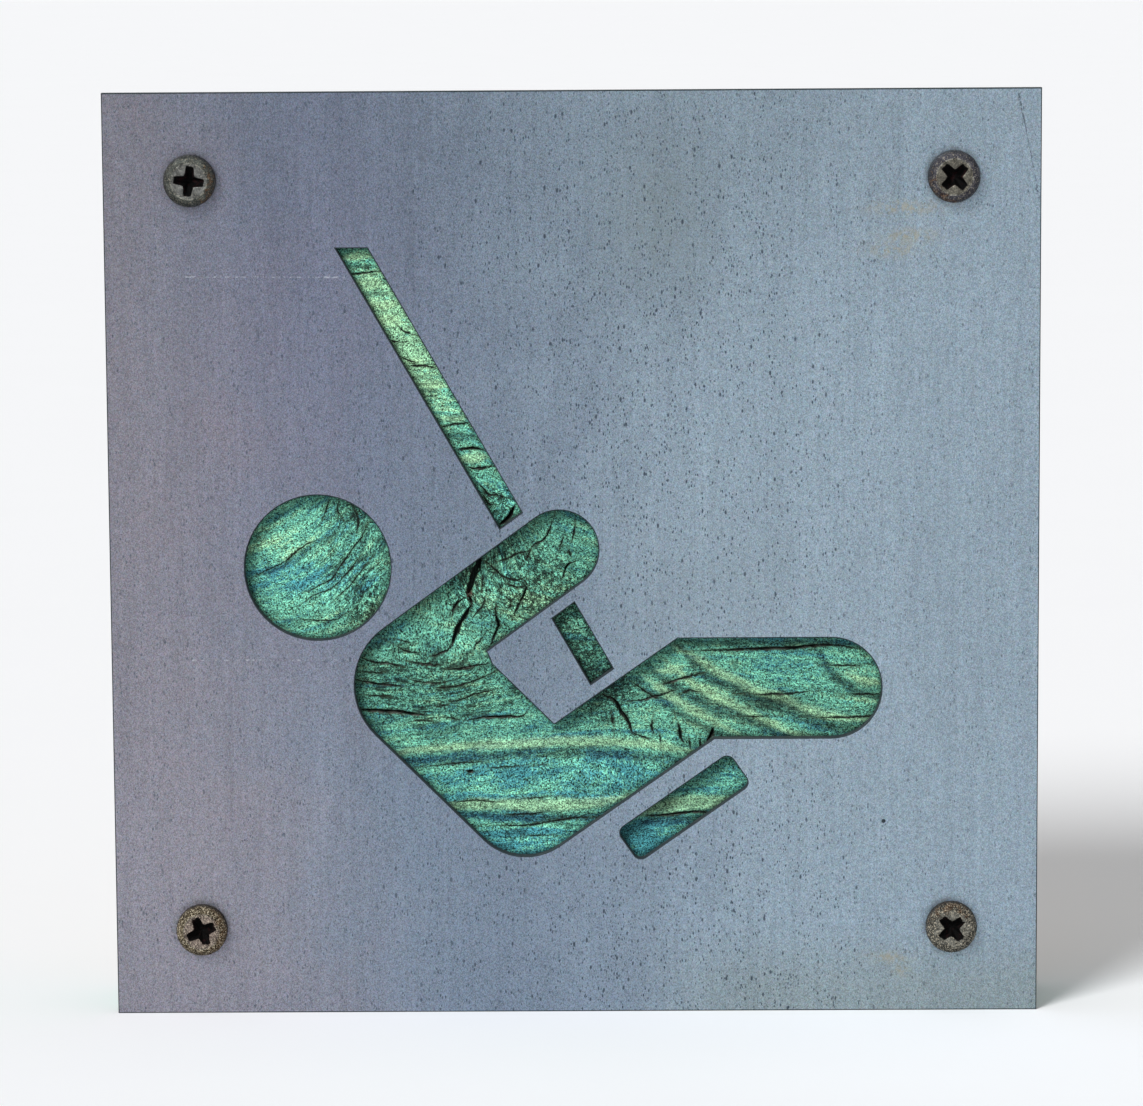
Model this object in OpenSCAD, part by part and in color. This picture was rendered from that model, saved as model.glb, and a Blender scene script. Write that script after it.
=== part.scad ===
// Square steel sign with the figure of a child on a swing cut through it. The plate is screwed to a
// stained wooden board that shows through the openings, and a keyhole hanger is let into the back.
// The origin is the middle of the base that the sign stands on. X runs to the right as seen from
// the front, Y runs from the front face to the wall, and Z runs up.

/* [Face plate] */
// Width of the steel face plate
plate_w = 150; // [142:1:200]
// Height of the steel face plate
plate_h = 150; // [142:1:200]
// Thickness of the steel face plate
plate_t = 2; // [1:0.1:4]

/* [Backing board] */
// Thickness of the wooden board
board_t = 18; // [18:0.5:30]
// Distance from the plate's top and side edges in to the board
board_setback = 1; // [0.25:0.25:3]
// Width of the chamfer along the board's edges
board_chamfer = 0.6; // [0.2:0.1:1.2]

/* [Figure, head and arm] */
// Diameter of the head
head_d = 23.6; // [18:0.1:26]
// Head's centre, to the right of the plate's centre
head_x = -41.4; // [-44:0.1:-41]
// Head's centre, above the plate's centre
head_z = -1.6; // [-2:0.1:4]
// Armpit, to the right of the plate's centre
armpit_x = -15; // [-17:0.1:-12]
// Armpit, above the plate's centre
armpit_z = -15.9; // [-18:0.1:-14]
// Slope of the arm, in degrees
arm_slope = 36; // [32:0.5:38]
// Width of the arm
arm_w = 12.8; // [10:0.1:13.5]
// Length of the arm from the armpit to the tip of the hand
arm_reach = 26.6; // [22:0.1:30]
// Radius of the round shoulder
shoulder_r = 11.4; // [6:0.1:12]

/* [Figure, back and legs] */
// Slope of the back, in degrees
back_slope = 45; // [42:0.5:48]
// Width of the body between the back and the belly
body_w = 21.5; // [18:0.1:23]
// Length of the belly from the armpit to the lap
belly_len = 16.4; // [14:0.1:18]
// Slope of the thigh, in degrees
thigh_slope = 35; // [32:0.5:38]
// Width of the thigh
thigh_w = 16.8; // [14:0.1:18]
// Length of the thigh from the lap to the knee
thigh_len = 24.5; // [22:0.1:27]
// Width of the lower leg
leg_w = 16.4; // [12:0.1:18]
// Length of the lower leg from the knee to the tip of the foot
leg_reach = 33; // [26:0.1:36]
// Radius of the round seat of the figure
bottom_r = 9.6; // [6:0.1:12]

/* [Figure, swing] */
// Middle of the rope's top end, to the right of the plate's centre
rope_x = -35.3; // [-38:0.1:-32]
// Rope's top end, above the plate's centre
rope_z = 50; // [40:0.1:54]
// Slope of the rope, in degrees
rope_slope = 60.3; // [58:0.1:62]
// Width of the rope
rope_w = 4.4; // [3:0.1:6]
// Width of the steel bridges between the rope and the figure
rope_bridge = 2; // [1.5:0.1:3]
// Width of the steel bridge between the thigh and the swing's seat
seat_bridge = 3.4; // [2:0.1:5]
// Start of the seat, measured from the lap along the thigh
seat_start = -1.8; // [-4:0.1:2]
// Length of the swing's seat
seat_len = 22.2; // [18:0.1:26]
// Height of the swing's seat
seat_h = 6.2; // [4:0.1:7]
// Corner radius of the swing's seat
seat_r = 1.3; // [0.5:0.1:1.8]

/* [Plate screws] */
// Distance of each plate screw from the plate's nearest two edges
screw_inset = 14; // [10:0.5:18]
// Diameter of the pan head
head_dia = 8.4; // [7:0.1:9.5]
// Height of the pan head
head_h = 2.6; // [2.2:0.1:3.2]
// Radius of the shoulder around the pan head's top
head_shoulder_r = 1.3; // [0.6:0.1:1.6]
// Outer diameter of the thread
thread_d = 4.2; // [3.6:0.1:4.8]
// Diameter of the thread's root
root_d = 2.9; // [2.4:0.1:3.3]
// Distance between the thread's turns
thread_pitch = 1.4; // [1.2:0.1:2]
// Length of the screw under its head
screw_len = 16; // [12:0.5:18]
// Length of the screw's pointed tip
tip_len = 3; // [2:0.25:4]
// Span of the cross recess
recess_span = 4.9; // [4:0.1:5.4]
// Width of each arm of the cross recess
recess_arm = 1.4; // [1:0.1:1.6]
// Depth of the cross recess
recess_depth = 1.9; // [1.2:0.1:2]
// Turn of the top left recess, in degrees anticlockwise from upright
turn_top_left = -6.5; // [-45:0.5:45]
// Turn of the top right recess, in degrees anticlockwise from upright
turn_top_right = 44; // [-45:0.5:45]
// Turn of the bottom left recess, in degrees anticlockwise from upright
turn_bottom_left = 24; // [-45:0.5:45]
// Turn of the bottom right recess, in degrees anticlockwise from upright
turn_bottom_right = 41; // [-45:0.5:45]

/* [Keyhole hanger] */
// Height of the hanger plate
hanger_h = 44; // [40:0.5:50]
// Width of the hanger plate
hanger_w = 16; // [15:0.5:20]
// Thickness of the hanger plate
hanger_t = 1.5; // [1:0.1:2]
// Distance from the plate's top edge down to the hanger's middle
hanger_drop = 32; // [28:0.5:60]
// Diameter of the hole that the wall screw's head goes in by
keyhole_d = 9; // [8:0.1:10]
// Width of the slot that the wall screw's neck slides up
keyhole_slot_w = 4.6; // [4:0.1:5]
// Distance from the hole's centre up to the slot's round end
keyhole_rise = 9; // [7:0.5:10]
// Distance from the hanger's middle down to the hole's centre
keyhole_low = 4.5; // [3:0.5:5]
// Room around the wall screw's head inside the board
pocket_room = 1.2; // [0.5:0.1:1.5]
// Depth of the room for the wall screw's head behind the hanger plate
pocket_depth = 4.5; // [3:0.5:6]
// Distance of each hanger screw from the hanger's nearest end
hanger_screw_inset = 5; // [4:0.25:6]
// Diameter of the hanger screw's countersunk head
small_head_d = 5.6; // [5:0.1:6]
// Outer diameter of the hanger screw's thread
small_thread_d = 3; // [2.6:0.1:3.4]
// Diameter of the hanger screw's root
small_root_d = 2; // [1.7:0.1:2.3]
// Distance between the turns of the hanger screw's thread
small_pitch = 1.3; // [1.1:0.1:1.6]
// Length of the hanger screw
small_len = 12; // [10:0.5:14]
// Span of the hanger screw's cross recess
small_recess_span = 3; // [2.4:0.1:3.2]
// Depth of the hanger screw's cross recess
small_recess_depth = 1.2; // [0.8:0.1:1.4]

/* [Fits] */
// Gap all round a plate screw's thread in the plate's hole
plate_hole_gap = 0.2; // [0.1:0.05:0.5]
// Gap all round a screw's root in its pilot hole
pilot_gap = 0.05; // [0.02:0.01:0.1]
// Depth of a pilot hole past the tip of its screw
pilot_extra = 1; // [0.5:0.25:1.5]
// Gap all round the hanger plate in its recess
recess_gap = 0.25; // [0.1:0.05:0.5]
// Gap between a countersunk head and its seat
seat_gap = 0.05; // [0.02:0.01:0.1]

/* [Hidden] */
$fn = 64;

// Faces of the stack, from the front to the wall
front_y = -(plate_t + board_t) / 2;
joint_y = front_y + plate_t;
back_y = joint_y + board_t;
plate_mid_z = plate_h / 2;
screw_x = plate_w / 2 - screw_inset;
screw_low_z = screw_inset;
screw_high_z = plate_h - screw_inset;
board_w = plate_w - 2 * board_setback;
board_h = plate_h - board_setback;
hanger_z = plate_h - hanger_drop;
keyhole_z = hanger_z - keyhole_low;
hanger_y = back_y - hanger_t;
hanger_screw_reach = hanger_h / 2 - hanger_screw_inset;

// A cut passes its faces by this much
past = 1;
// The part of a shank that is sunk in its head, and the plain neck above its thread
shank_root_in = 0.4;
neck_len = 1;
// Sides of a threaded shank, and the radius of its point as a share of its root
thread_sides = 16;
point_share = 0.15;
// Least width of the flat under a countersunk head, around its shank
head_lip = 0.15;
// Height of the ridge at the thread's first point, as a share of its full height
ridge_start = 0.2;
// Sizes of the middle of a cross recess, as shares of its span
recess_core_top = 0.52;
recess_core_low = 0.22;
recess_floor = 0.4;
small_recess_share = 0.28;

// Directions along the figure's limbs, and the lines that bound them
arm_dir = heading(arm_slope);
back_dir = heading(-back_slope);
thigh_dir = heading(thigh_slope);
rope_dir = heading(-rope_slope);
armpit = [armpit_x, plate_mid_z + armpit_z];
arm_top = armpit + arm_w * left_of(arm_dir);
arm_end = armpit + (arm_reach - arm_w / 2) * arm_dir;
lap = armpit + belly_len * back_dir;
back = armpit - body_w * left_of(back_dir);
thigh_low = lap - thigh_w * left_of(thigh_dir);
knee = lap + thigh_len * thigh_dir;
knee_low = knee - [0, leg_w];
foot_x = knee[0] + leg_reach - leg_w / 2;
shoulder = meet(arm_top, arm_dir, back, back_dir);
bottom = meet(back, back_dir, thigh_low, thigh_dir);
knee_pit = meet(thigh_low, thigh_dir, knee_low, [1, 0]);

// Unit vector at an angle above the horizontal
function heading(slope) = [cos(slope), sin(slope)];

// Unit vector a quarter turn to the left of another
function left_of(d) = [-d[1], d[0]];

// Point where the line through p along a meets the line through q along b
function meet(p, a, q, b) = p + a * cross(q - p, b) / cross(a, b);

// Distance from a corner, whose edges run along a and b, to where a circle of radius r touches them
function touch(a, b, r) = r / tan(acos(a * b) / 2);

// Centre of the circle of radius r that rounds the corner p, whose edges run along a and b
function round_centre(p, a, b, r) = p + (a + b) / norm(a + b) * r / sin(acos(a * b) / 2);

// Flat drawing of X and Z, made into a slab whose front face is at y
module slab(y, thickness) {
    translate([0, y + thickness, 0])
        rotate([90, 0, 0])
            linear_extrude(thickness)
                children();
}

// Body of the figure in one outline: arm, back, thigh and lower leg
module body_shape() {
    shoulder_touch = touch(arm_dir, back_dir, shoulder_r);
    bottom_touch = touch(-back_dir, thigh_dir, bottom_r);
    polygon([
        armpit,
        arm_end,
        arm_end + arm_w * left_of(arm_dir),
        shoulder + shoulder_touch * arm_dir,
        shoulder + shoulder_touch * back_dir,
        bottom - bottom_touch * back_dir,
        bottom + bottom_touch * thigh_dir,
        knee_pit,
        [foot_x, knee_low[1]],
        [foot_x, knee[1]],
        knee,
        lap
    ]);
    translate(arm_end + arm_w / 2 * left_of(arm_dir))
        circle(d = arm_w);
    translate([foot_x, knee[1] - leg_w / 2])
        circle(d = leg_w);
    translate(round_centre(shoulder, arm_dir, back_dir, shoulder_r))
        circle(shoulder_r);
    translate(round_centre(bottom, -back_dir, thigh_dir, bottom_r))
        circle(bottom_r);
}

// Rope above the arm, and the stretch of it between the arm and the thigh
module rope_shape() {
    half_top = [rope_w / 2 / sin(rope_slope), 0];
    top = [rope_x, plate_mid_z + rope_z];
    above_arm = arm_top + rope_bridge * left_of(arm_dir);
    below_arm = armpit - rope_bridge * left_of(arm_dir);
    above_lap = lap + rope_bridge * left_of(thigh_dir);
    polygon([
        top - half_top,
        top + half_top,
        meet(top + half_top, rope_dir, above_arm, arm_dir),
        meet(top - half_top, rope_dir, above_arm, arm_dir)
    ]);
    polygon([
        meet(top - half_top, rope_dir, below_arm, arm_dir),
        meet(top + half_top, rope_dir, below_arm, arm_dir),
        meet(top + half_top, rope_dir, above_lap, thigh_dir),
        meet(top - half_top, rope_dir, above_lap, thigh_dir)
    ]);
}

// Swing's seat below the thigh
module seat_shape() {
    corner = thigh_low + seat_start * thigh_dir - (seat_bridge + seat_h) * left_of(thigh_dir);
    translate(corner)
        rotate(thigh_slope) {
            translate([seat_r, 0])
                square([seat_len - 2 * seat_r, seat_h]);
            translate([0, seat_r])
                square([seat_len, seat_h - 2 * seat_r]);
            for (x = [seat_r, seat_len - seat_r], z = [seat_r, seat_h - seat_r])
                translate([x, z])
                    circle(seat_r);
        }
}

// Places of the four plate screws
module at_plate_screws() {
    for (x = [-screw_x, screw_x], z = [screw_low_z, screw_high_z])
        translate([x, z])
            children();
}

// Steel plate with the figure and the screw holes cut through it
module face_plate() {
    color("lightslategray")
        slab(front_y, plate_t)
            difference() {
                translate([-plate_w / 2, 0])
                    square([plate_w, plate_h]);
                translate([head_x, plate_mid_z + head_z])
                    circle(d = head_d);
                body_shape();
                rope_shape();
                seat_shape();
                at_plate_screws()
                    circle(d = thread_d + 2 * plate_hole_gap);
            }
}

// Rectangle with its corners cut off at 45 degrees, its lowest left corner at the origin
module chamfered_rectangle(w, h, c) {
    polygon([[c, 0], [w - c, 0], [w, c], [w, h - c], [w - c, h], [c, h], [0, h - c], [0, c]]);
}

// Plain block of the board with every edge chamfered
module board_block() {
    c = board_chamfer;
    intersection() {
        translate([-board_w / 2, 0])
            slab(joint_y, board_t)
                chamfered_rectangle(board_w, board_h, c);
        translate([-board_w / 2, joint_y, 0])
            linear_extrude(board_h)
                chamfered_rectangle(board_w, board_t, c);
        translate([-board_w / 2, joint_y, 0])
            rotate([90, 0, 90])
                linear_extrude(board_w)
                    chamfered_rectangle(board_t, board_h, c);
    }
}

// Upright slot shape with round ends, w wide, from z = low to z = high
module upright_slot(w, low, high) {
    translate([-w / 2, low + w / 2])
        square([w, high - low - w]);
    for (z = [low + w / 2, high - w / 2])
        translate([0, z])
            circle(d = w);
}

// Stained board with pilot holes for all the screws and a stepped recess for the hanger
module backing_board() {
    plate_pilot_depth = screw_len - plate_t + pilot_extra;
    small_pilot_depth = small_len - hanger_t + pilot_extra;
    pocket_w = keyhole_d + 2 * pocket_room;
    color([0.31, 0.62, 0.51])
        difference() {
            board_block();
            slab(joint_y - past, plate_pilot_depth + past)
                at_plate_screws()
                    circle(d = root_d + 2 * pilot_gap);
            slab(hanger_y, hanger_t + past)
                translate([0, hanger_z])
                    upright_slot(
                        hanger_w + 2 * recess_gap,
                        -hanger_h / 2 - recess_gap,
                        hanger_h / 2 + recess_gap
                    );
            slab(hanger_y - pocket_depth, pocket_depth + past)
                translate([0, keyhole_z])
                    upright_slot(pocket_w, -pocket_w / 2, keyhole_rise + pocket_w / 2);
            slab(hanger_y - small_pilot_depth, small_pilot_depth + past)
                at_hanger_screws()
                    circle(d = small_root_d + 2 * pilot_gap);
        }
}

// Places of the two hanger screws
module at_hanger_screws() {
    for (side = [-1, 1])
        translate([0, hanger_z + side * hanger_screw_reach])
            children();
}

// Tapered screw shank with a raised helical ridge. It hangs down from z = 0 to z = -len.
module threaded_shank(root_r, crest_r, pitch, len, point_len) {
    n = thread_sides;
    last = floor((len - neck_len - pitch / 2) / pitch * n) - n;
    ridge_h = crest_r - root_r;
    taper = function(z) min(1, max(point_share, (len + z) / point_len));
    climb = function(j) min(1, ridge_start + j / n);
    low = function(j) -neck_len - pitch * j / n;
    ring = function(r, j, z) [r * cos(-360 * j / n), r * sin(-360 * j / n), z];
    top_ring = [for (i = [0 : n - 1]) ring(root_r, i, shank_root_in)];
    root_line = [for (j = [0 : last + n]) ring(root_r * taper(low(j)), j, low(j))];
    crest_line = [for (j = [0 : last])
        let (z = low(j) - pitch / 2)
        ring((root_r + ridge_h * climb(j)) * taper(z), j, z)];
    root = function(j) n + j;
    crest = function(j) n + last + n + 1 + j;
    tip = n + len(root_line) + len(crest_line);
    polyhedron(
        points = concat(top_ring, root_line, crest_line, [[0, 0, -len]]),
        faces = concat(
            [[for (i = [n - 1 : -1 : 0]) i]],
            [for (i = [0 : n - 2]) [i + 1, i, root(i)]],
            [for (i = [0 : n - 2]) [i + 1, root(i), root(i + 1)]],
            [
                [0, n - 1, root(n - 1)],
                [root(0), 0, root(n - 1)],
                [root(n), root(0), root(n - 1)],
                [root(0), root(n), crest(0)]
            ],
            [for (j = [0 : last - 1]) [root(j + 1), root(j), crest(j)]],
            [for (j = [0 : last - 1]) [root(j + 1), crest(j), crest(j + 1)]],
            [for (j = [0 : last - 1]) [crest(j + 1), crest(j), root(j + n)]],
            [for (j = [0 : last - 1]) [crest(j + 1), root(j + n), root(j + n + 1)]],
            [
                [root(last), crest(last), root(last + n)],
                [root(last + 1), root(last), root(last + n)],
                [root(last + 1), root(last + n), tip]
            ],
            [for (j = [last + 1 : last + n - 1]) [root(j + 1), root(j), tip]]
        ),
        convexity = 8
    );
}

// Cone that opens upwards at z = 0, with room above it for a clean cut
module recess_cone(d_low, d_top, depth) {
    translate([0, 0, -depth])
        cylinder(d1 = d_low, d2 = d_top, h = depth);
    cylinder(d = d_top, h = past);
}

// Cross recess that opens upwards at z = 0
module cross_recess(span, arm, depth) {
    intersection() {
        recess_cone(span * recess_floor, span, depth);
        for (a = [0, 90])
            rotate(a)
                translate([-span, -arm / 2, -depth])
                    cube([2 * span, arm, depth + past]);
    }
    recess_cone(span * recess_core_low, span * recess_core_top, depth);
}

// Pan head screw that stands on z = 0 with its shank below
module plate_screw() {
    difference() {
        union() {
            rotate_extrude()
                intersection() {
                    union() {
                        square([head_dia / 2, head_h - head_shoulder_r]);
                        square([head_dia / 2 - head_shoulder_r, head_h]);
                        translate([head_dia / 2 - head_shoulder_r, head_h - head_shoulder_r])
                            circle(head_shoulder_r);
                    }
                    square([head_dia, head_h]);
                }
            threaded_shank(root_d / 2, thread_d / 2, thread_pitch, screw_len, tip_len);
        }
        translate([0, 0, head_h])
            cross_recess(recess_span, recess_arm, recess_depth);
    }
}

// Plate screw at a corner, with its head on the plate's front face
module placed_plate_screw(x, z, turn) {
    color([0.36, 0.32, 0.27])
        translate([x, front_y, z])
            rotate([90, 0, 0])
                rotate(turn)
                    plate_screw();
}

module screw_top_left() {
    placed_plate_screw(-screw_x, screw_high_z, turn_top_left);
}

module screw_top_right() {
    placed_plate_screw(screw_x, screw_high_z, turn_top_right);
}

module screw_bottom_left() {
    placed_plate_screw(-screw_x, screw_low_z, turn_bottom_left);
}

module screw_bottom_right() {
    placed_plate_screw(screw_x, screw_low_z, turn_bottom_right);
}

// Steel strip with a keyhole between two countersunk screw holes
module keyhole_hanger() {
    color("silver")
        difference() {
            slab(hanger_y, hanger_t)
                difference() {
                    translate([0, hanger_z])
                        upright_slot(hanger_w, -hanger_h / 2, hanger_h / 2);
                    translate([0, keyhole_z])
                        circle(d = keyhole_d);
                    translate([0, keyhole_z])
                        upright_slot(keyhole_slot_w, -keyhole_slot_w / 2, keyhole_rise + keyhole_slot_w / 2);
                    at_hanger_screws()
                        circle(d = small_thread_d + 2 * seat_gap);
                }
            for (side = [-1, 1])
                translate([0, back_y, hanger_z + side * hanger_screw_reach])
                    rotate([-90, 0, 0])
                        countersink(seat_gap);
        }
}

// Cone of a countersunk head as thick as the hanger, its wide face at z = 0, grown sideways by a gap
module countersink(gap) {
    low_r = max(small_head_d / 2 - hanger_t, small_root_d / 2 + head_lip);
    translate([0, 0, -hanger_t])
        cylinder(r1 = low_r + gap, r2 = small_head_d / 2 + gap, h = hanger_t);
}

// Countersunk screw that holds one end of the hanger
module hanger_screw(side) {
    color("lightgray")
        translate([0, back_y, hanger_z + side * hanger_screw_reach])
            rotate([-90, 0, 0])
                difference() {
                    union() {
                        countersink(0);
                        translate([0, 0, -hanger_t])
                            threaded_shank(
                                small_root_d / 2,
                                small_thread_d / 2,
                                small_pitch,
                                small_len - hanger_t,
                                tip_len
                            );
                    }
                    cross_recess(
                        small_recess_span,
                        small_recess_span * small_recess_share,
                        small_recess_depth
                    );
                }
}

module hanger_screw_upper() {
    hanger_screw(1);
}

module hanger_screw_lower() {
    hanger_screw(-1);
}

face_plate();
backing_board();
screw_top_left();
screw_top_right();
screw_bottom_left();
screw_bottom_right();
keyhole_hanger();
hanger_screw_upper();
hanger_screw_lower();
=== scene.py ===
"""Square steel sign with a child on a swing cut through it, screwed to a green-stained wooden board.

Laid out as an add-on and run as a script: one operator makes each piece around the loaded model.
Sizes are in metres and the frame is the model's own: X to the right, Y from the front to the wall, Z up.
"""
import math
from functools import reduce

import bmesh
import bpy
import numpy as np
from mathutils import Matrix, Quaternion, Vector
from mathutils.geometry import tessellate_polygon


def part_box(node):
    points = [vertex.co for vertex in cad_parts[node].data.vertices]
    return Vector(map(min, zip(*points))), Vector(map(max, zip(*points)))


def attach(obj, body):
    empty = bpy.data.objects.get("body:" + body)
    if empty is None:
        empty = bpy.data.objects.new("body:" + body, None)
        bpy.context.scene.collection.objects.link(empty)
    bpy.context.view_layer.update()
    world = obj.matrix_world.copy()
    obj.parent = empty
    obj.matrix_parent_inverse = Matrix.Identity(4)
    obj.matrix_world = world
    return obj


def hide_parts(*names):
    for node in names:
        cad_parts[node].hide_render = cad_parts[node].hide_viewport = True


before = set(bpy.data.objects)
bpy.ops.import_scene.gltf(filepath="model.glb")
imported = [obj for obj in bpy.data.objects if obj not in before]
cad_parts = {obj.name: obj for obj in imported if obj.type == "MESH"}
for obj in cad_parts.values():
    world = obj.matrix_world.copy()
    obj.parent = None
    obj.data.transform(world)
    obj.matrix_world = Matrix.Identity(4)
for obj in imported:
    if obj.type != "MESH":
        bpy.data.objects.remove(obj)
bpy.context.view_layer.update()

bl_info = {
    "name": "Silhouette sign",
    "version": (1, 0, 0),
    "blender": (4, 5, 0),
    "location": "3D View > Sidebar > Sign",
    "description": "Makes a cut steel sign on a stained wooden board, with its screws and its hanger",
    "category": "Add Mesh",
}

MM = 0.001
PLATE_LOW, PLATE_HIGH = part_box("face_plate")
BOARD_LOW, BOARD_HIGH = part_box("backing_board")
HANGER_LOW, HANGER_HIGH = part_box("keyhole_hanger")
PLATE_MIDDLE = (PLATE_LOW.z + PLATE_HIGH.z) / 2
HANGER_MIDDLE = (HANGER_LOW.z + HANGER_HIGH.z) / 2
SCREW_REACH = sum(corner.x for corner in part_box("screw_top_right")) / 2
# Room for screw heads behind the hanger's keyhole
POCKET_HALF = 5.7 * MM
POCKET_LOW = HANGER_MIDDLE - 10.2 * MM
POCKET_HEIGHT = 20.4 * MM
POCKET_DEPTH = 4.5 * MM
# Radius of a pan head, in millimetres
PAN_RADIUS = 4.2
BODY = "root"
SCREW_TREE = "Cross recess screw"
SEED_STEP = (17.3, -9.1, 5.7)
# Shares that each row of a screw's profile carries, after its radius and its height
ROW_SHARES = ("in_recess", "in_thread", "weather", "rim", "recess")

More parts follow.
